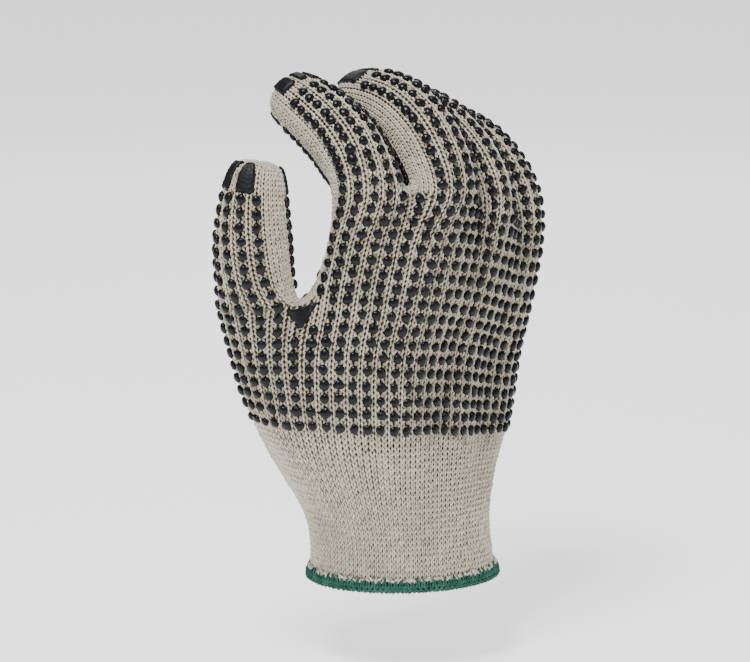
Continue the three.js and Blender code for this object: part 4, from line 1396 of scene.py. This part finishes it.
def back_of_knit(name, colour):
    """The wall behind the stitches: rows of purl loops as bump, with painted shade that darkens the grooves
    between them.
    """
    finish = Finish(name, colour, 0.98, 0.1)
    place = finish.parts("SeparateXYZ", "Vector", finish.object_place)
    rows = finish.math("SINE", finish.math("MULTIPLY", place["Z"], 2 * math.pi / PURL_PITCH))
    height = finish.math("ADD", finish.math("MULTIPLY", rows, 0.5), finish.noise(700, 3))
    # Painted shade: the grooves between the purl rows take a darker copy of the colour.
    shade = tuple(c * 0.55 for c in colour)
    finish.feed(finish.shader.inputs["Base Color"], finish.ramp(height, (0.2, shade), (0.9, colour)))
    finish.bump(height, 0.0004, 0.9)
    return finish.material


def grip_rubber(name, low, high):
    """Dark grey soft PVC, dimpled, its roughness between low and high."""
    finish = Finish(name, (0.006, 0.0062, 0.008), 0.3, 0.22)
    broad = finish.noise(260, 2)
    fine = finish.noise(1500, 3)
    tone = finish.ramp(broad, (0.3, (0.004, 0.0042, 0.0055)), (0.7, (0.008, 0.0083, 0.011)))
    finish.feed(finish.shader.inputs["Base Color"], tone)
    gloss = finish.ramp(fine, (0.3, (low, low, low)), (0.7, (high, high, high)))
    finish.feed(finish.shader.inputs["Roughness"], gloss)
    finish.bump(finish.math("ADD", broad, finish.math("MULTIPLY", fine, 0.35)), 0.00025, 0.6)
    return finish.material


def green_thread(name, colour, twisted):
    """Green overlock thread with paler and darker fibres spread by noise."""
    finish = Finish(name, colour, 0.8, 0.25)
    pale = tuple(c * 1.5 + 0.02 for c in colour)
    deep = tuple(c * 0.6 for c in colour)
    tone = finish.ramp(finish.noise(350, 3), (0.3, deep), (0.75, pale))
    finish.feed(finish.shader.inputs["Base Color"], tone)
    if twisted:
        finish.bump(finish.yarn_height(0.8), 0.00008, 0.8)
    return finish.material


# Studio

def studio_floor():
    bpy.ops.mesh.primitive_plane_add(size=14, location=(0, 0, -0.03))
    floor = bpy.context.object
    floor.name = "studio_floor"
    finish = Finish("pale_floor", (0.8, 0.8, 0.8), 0.9, 0.5)
    finish.feed(finish.shader.inputs["Emission Color"], (1, 1, 1))
    finish.feed(finish.shader.inputs["Emission Strength"], 1.3)
    floor.data.materials.append(finish.material)


def studio_light(name, location, target, size, power):
    light = bpy.data.lights.new(name, "AREA")
    light.shape = "DISK"
    light.size = size
    light.energy = power
    lamp = bpy.data.objects.new(name, light)
    lamp.location = location
    lamp.rotation_euler = (target - location).to_track_quat("-Z", "Y").to_euler()
    bpy.context.scene.collection.objects.link(lamp)


def camera_axes():
    """Unit vectors from the target back to the camera, to its right and up."""
    azimuth, elevation = math.radians(CAMERA["azimuth"]), math.radians(CAMERA["elevation"])
    back = Vector((math.sin(azimuth) * math.cos(elevation),
                   -math.cos(azimuth) * math.cos(elevation), math.sin(elevation)))
    right = Vector((math.cos(azimuth), math.sin(azimuth), 0))
    return back, right, back.cross(right)


def studio_camera():
    back, _, _ = camera_axes()
    data = bpy.data.cameras.new("camera")
    data.sensor_width = SENSOR
    data.lens = CAMERA["focal_px"] / FRAME_PX[0] * SENSOR
    data.shift_x = (FRAME_PX[0] / 2 - CAMERA_TARGET_PX[0]) / FRAME_PX[0]
    data.shift_y = (CAMERA_TARGET_PX[1] - FRAME_PX[1] / 2) / FRAME_PX[0]
    data.clip_start = 0.01
    camera = bpy.data.objects.new("camera", data)
    camera.location = (Vector(CAMERA_TARGET) + back * CAMERA["distance"]) * MM
    camera.rotation_mode = "QUATERNION"
    camera.rotation_quaternion = (-back).to_track_quat("-Z", "Y")
    bpy.context.scene.collection.objects.link(camera)
    bpy.context.scene.camera = camera


def studio():
    """Camera, pale floor, soft lights and a pale surround."""
    studio_camera()
    studio_floor()
    back, right, up = camera_axes()
    centre = Vector(CAMERA_TARGET) * MM
    studio_light("key", centre + back * 0.6 + up * 0.9 - right * 0.25, centre, 0.4, 16)
    studio_light("fill", centre + back * 0.6 + right * 0.9 + up * 0.2, centre, 0.9, 2.5)
    studio_light("rim", centre - back * 0.8 + up * 0.9, centre, 0.9, 4)
    world = bpy.data.worlds.new("studio")
    world.use_nodes = True
    background = world.node_tree.nodes["Background"]
    background.inputs["Color"].default_value = (1, 1, 1, 1)
    background.inputs["Strength"].default_value = 0.22
    bpy.context.scene.world = world


def glove():
    """All pieces of the glove: knit, the wall behind it, patches, dots and hem."""
    yarn = cotton()
    rubber = grip_rubber("grip_pvc", 0.2, 0.34)
    print_rubber = grip_rubber("grip_pvc_print", 0.4, 0.6)
    sheets = make_sheets()
    for name, parts in sheets.items():
        node = name.replace("_knit", "")
        finish_piece(knit_piece(name, parts, yarn), "knit", NODE_OF.get(name, node))
    # The wall's outer face, seen through the gaps between stitches, gets a much darker colour than its
    # inside: painted shadow of the deep knit.
    wall = inner_face("knit_back_wall", back_of_knit("knit_depth", (0.17, 0.15, 0.11)),
                      back_of_knit("knit_inside", (0.42, 0.4, 0.35)))
    finish_piece(wall, "knit", "wrist_cuff", "palm_body", *RAYS)
    places = dot_places(sheets, all_patches(sheets, print_rubber))
    finish_piece(dot_mesh("grip_dots", places, rubber), "grip", "palm_body", *RAYS)
    frame_of_hem = hem_frame(sheets["cuff_knit"][0][0])
    # The core takes a much darker copy of the loop thread's green: painted shade for the gaps between the
    # loops.
    core_thread_painted_shade = green_thread("hem_core", (0.003, 0.015, 0.011), twisted=False)
    finish_piece(hem_band(frame_of_hem, core_thread_painted_shade), "overlock", "cuff_hem")
    loop_thread = green_thread("hem_thread", (0.018, 0.1, 0.068), twisted=True)
    finish_piece(hem_loops(frame_of_hem, loop_thread), "overlock", "cuff_hem")
    finish_piece(ragged_ends(frame_of_hem, yarn), "knit", "wrist_cuff")


studio()
glove()
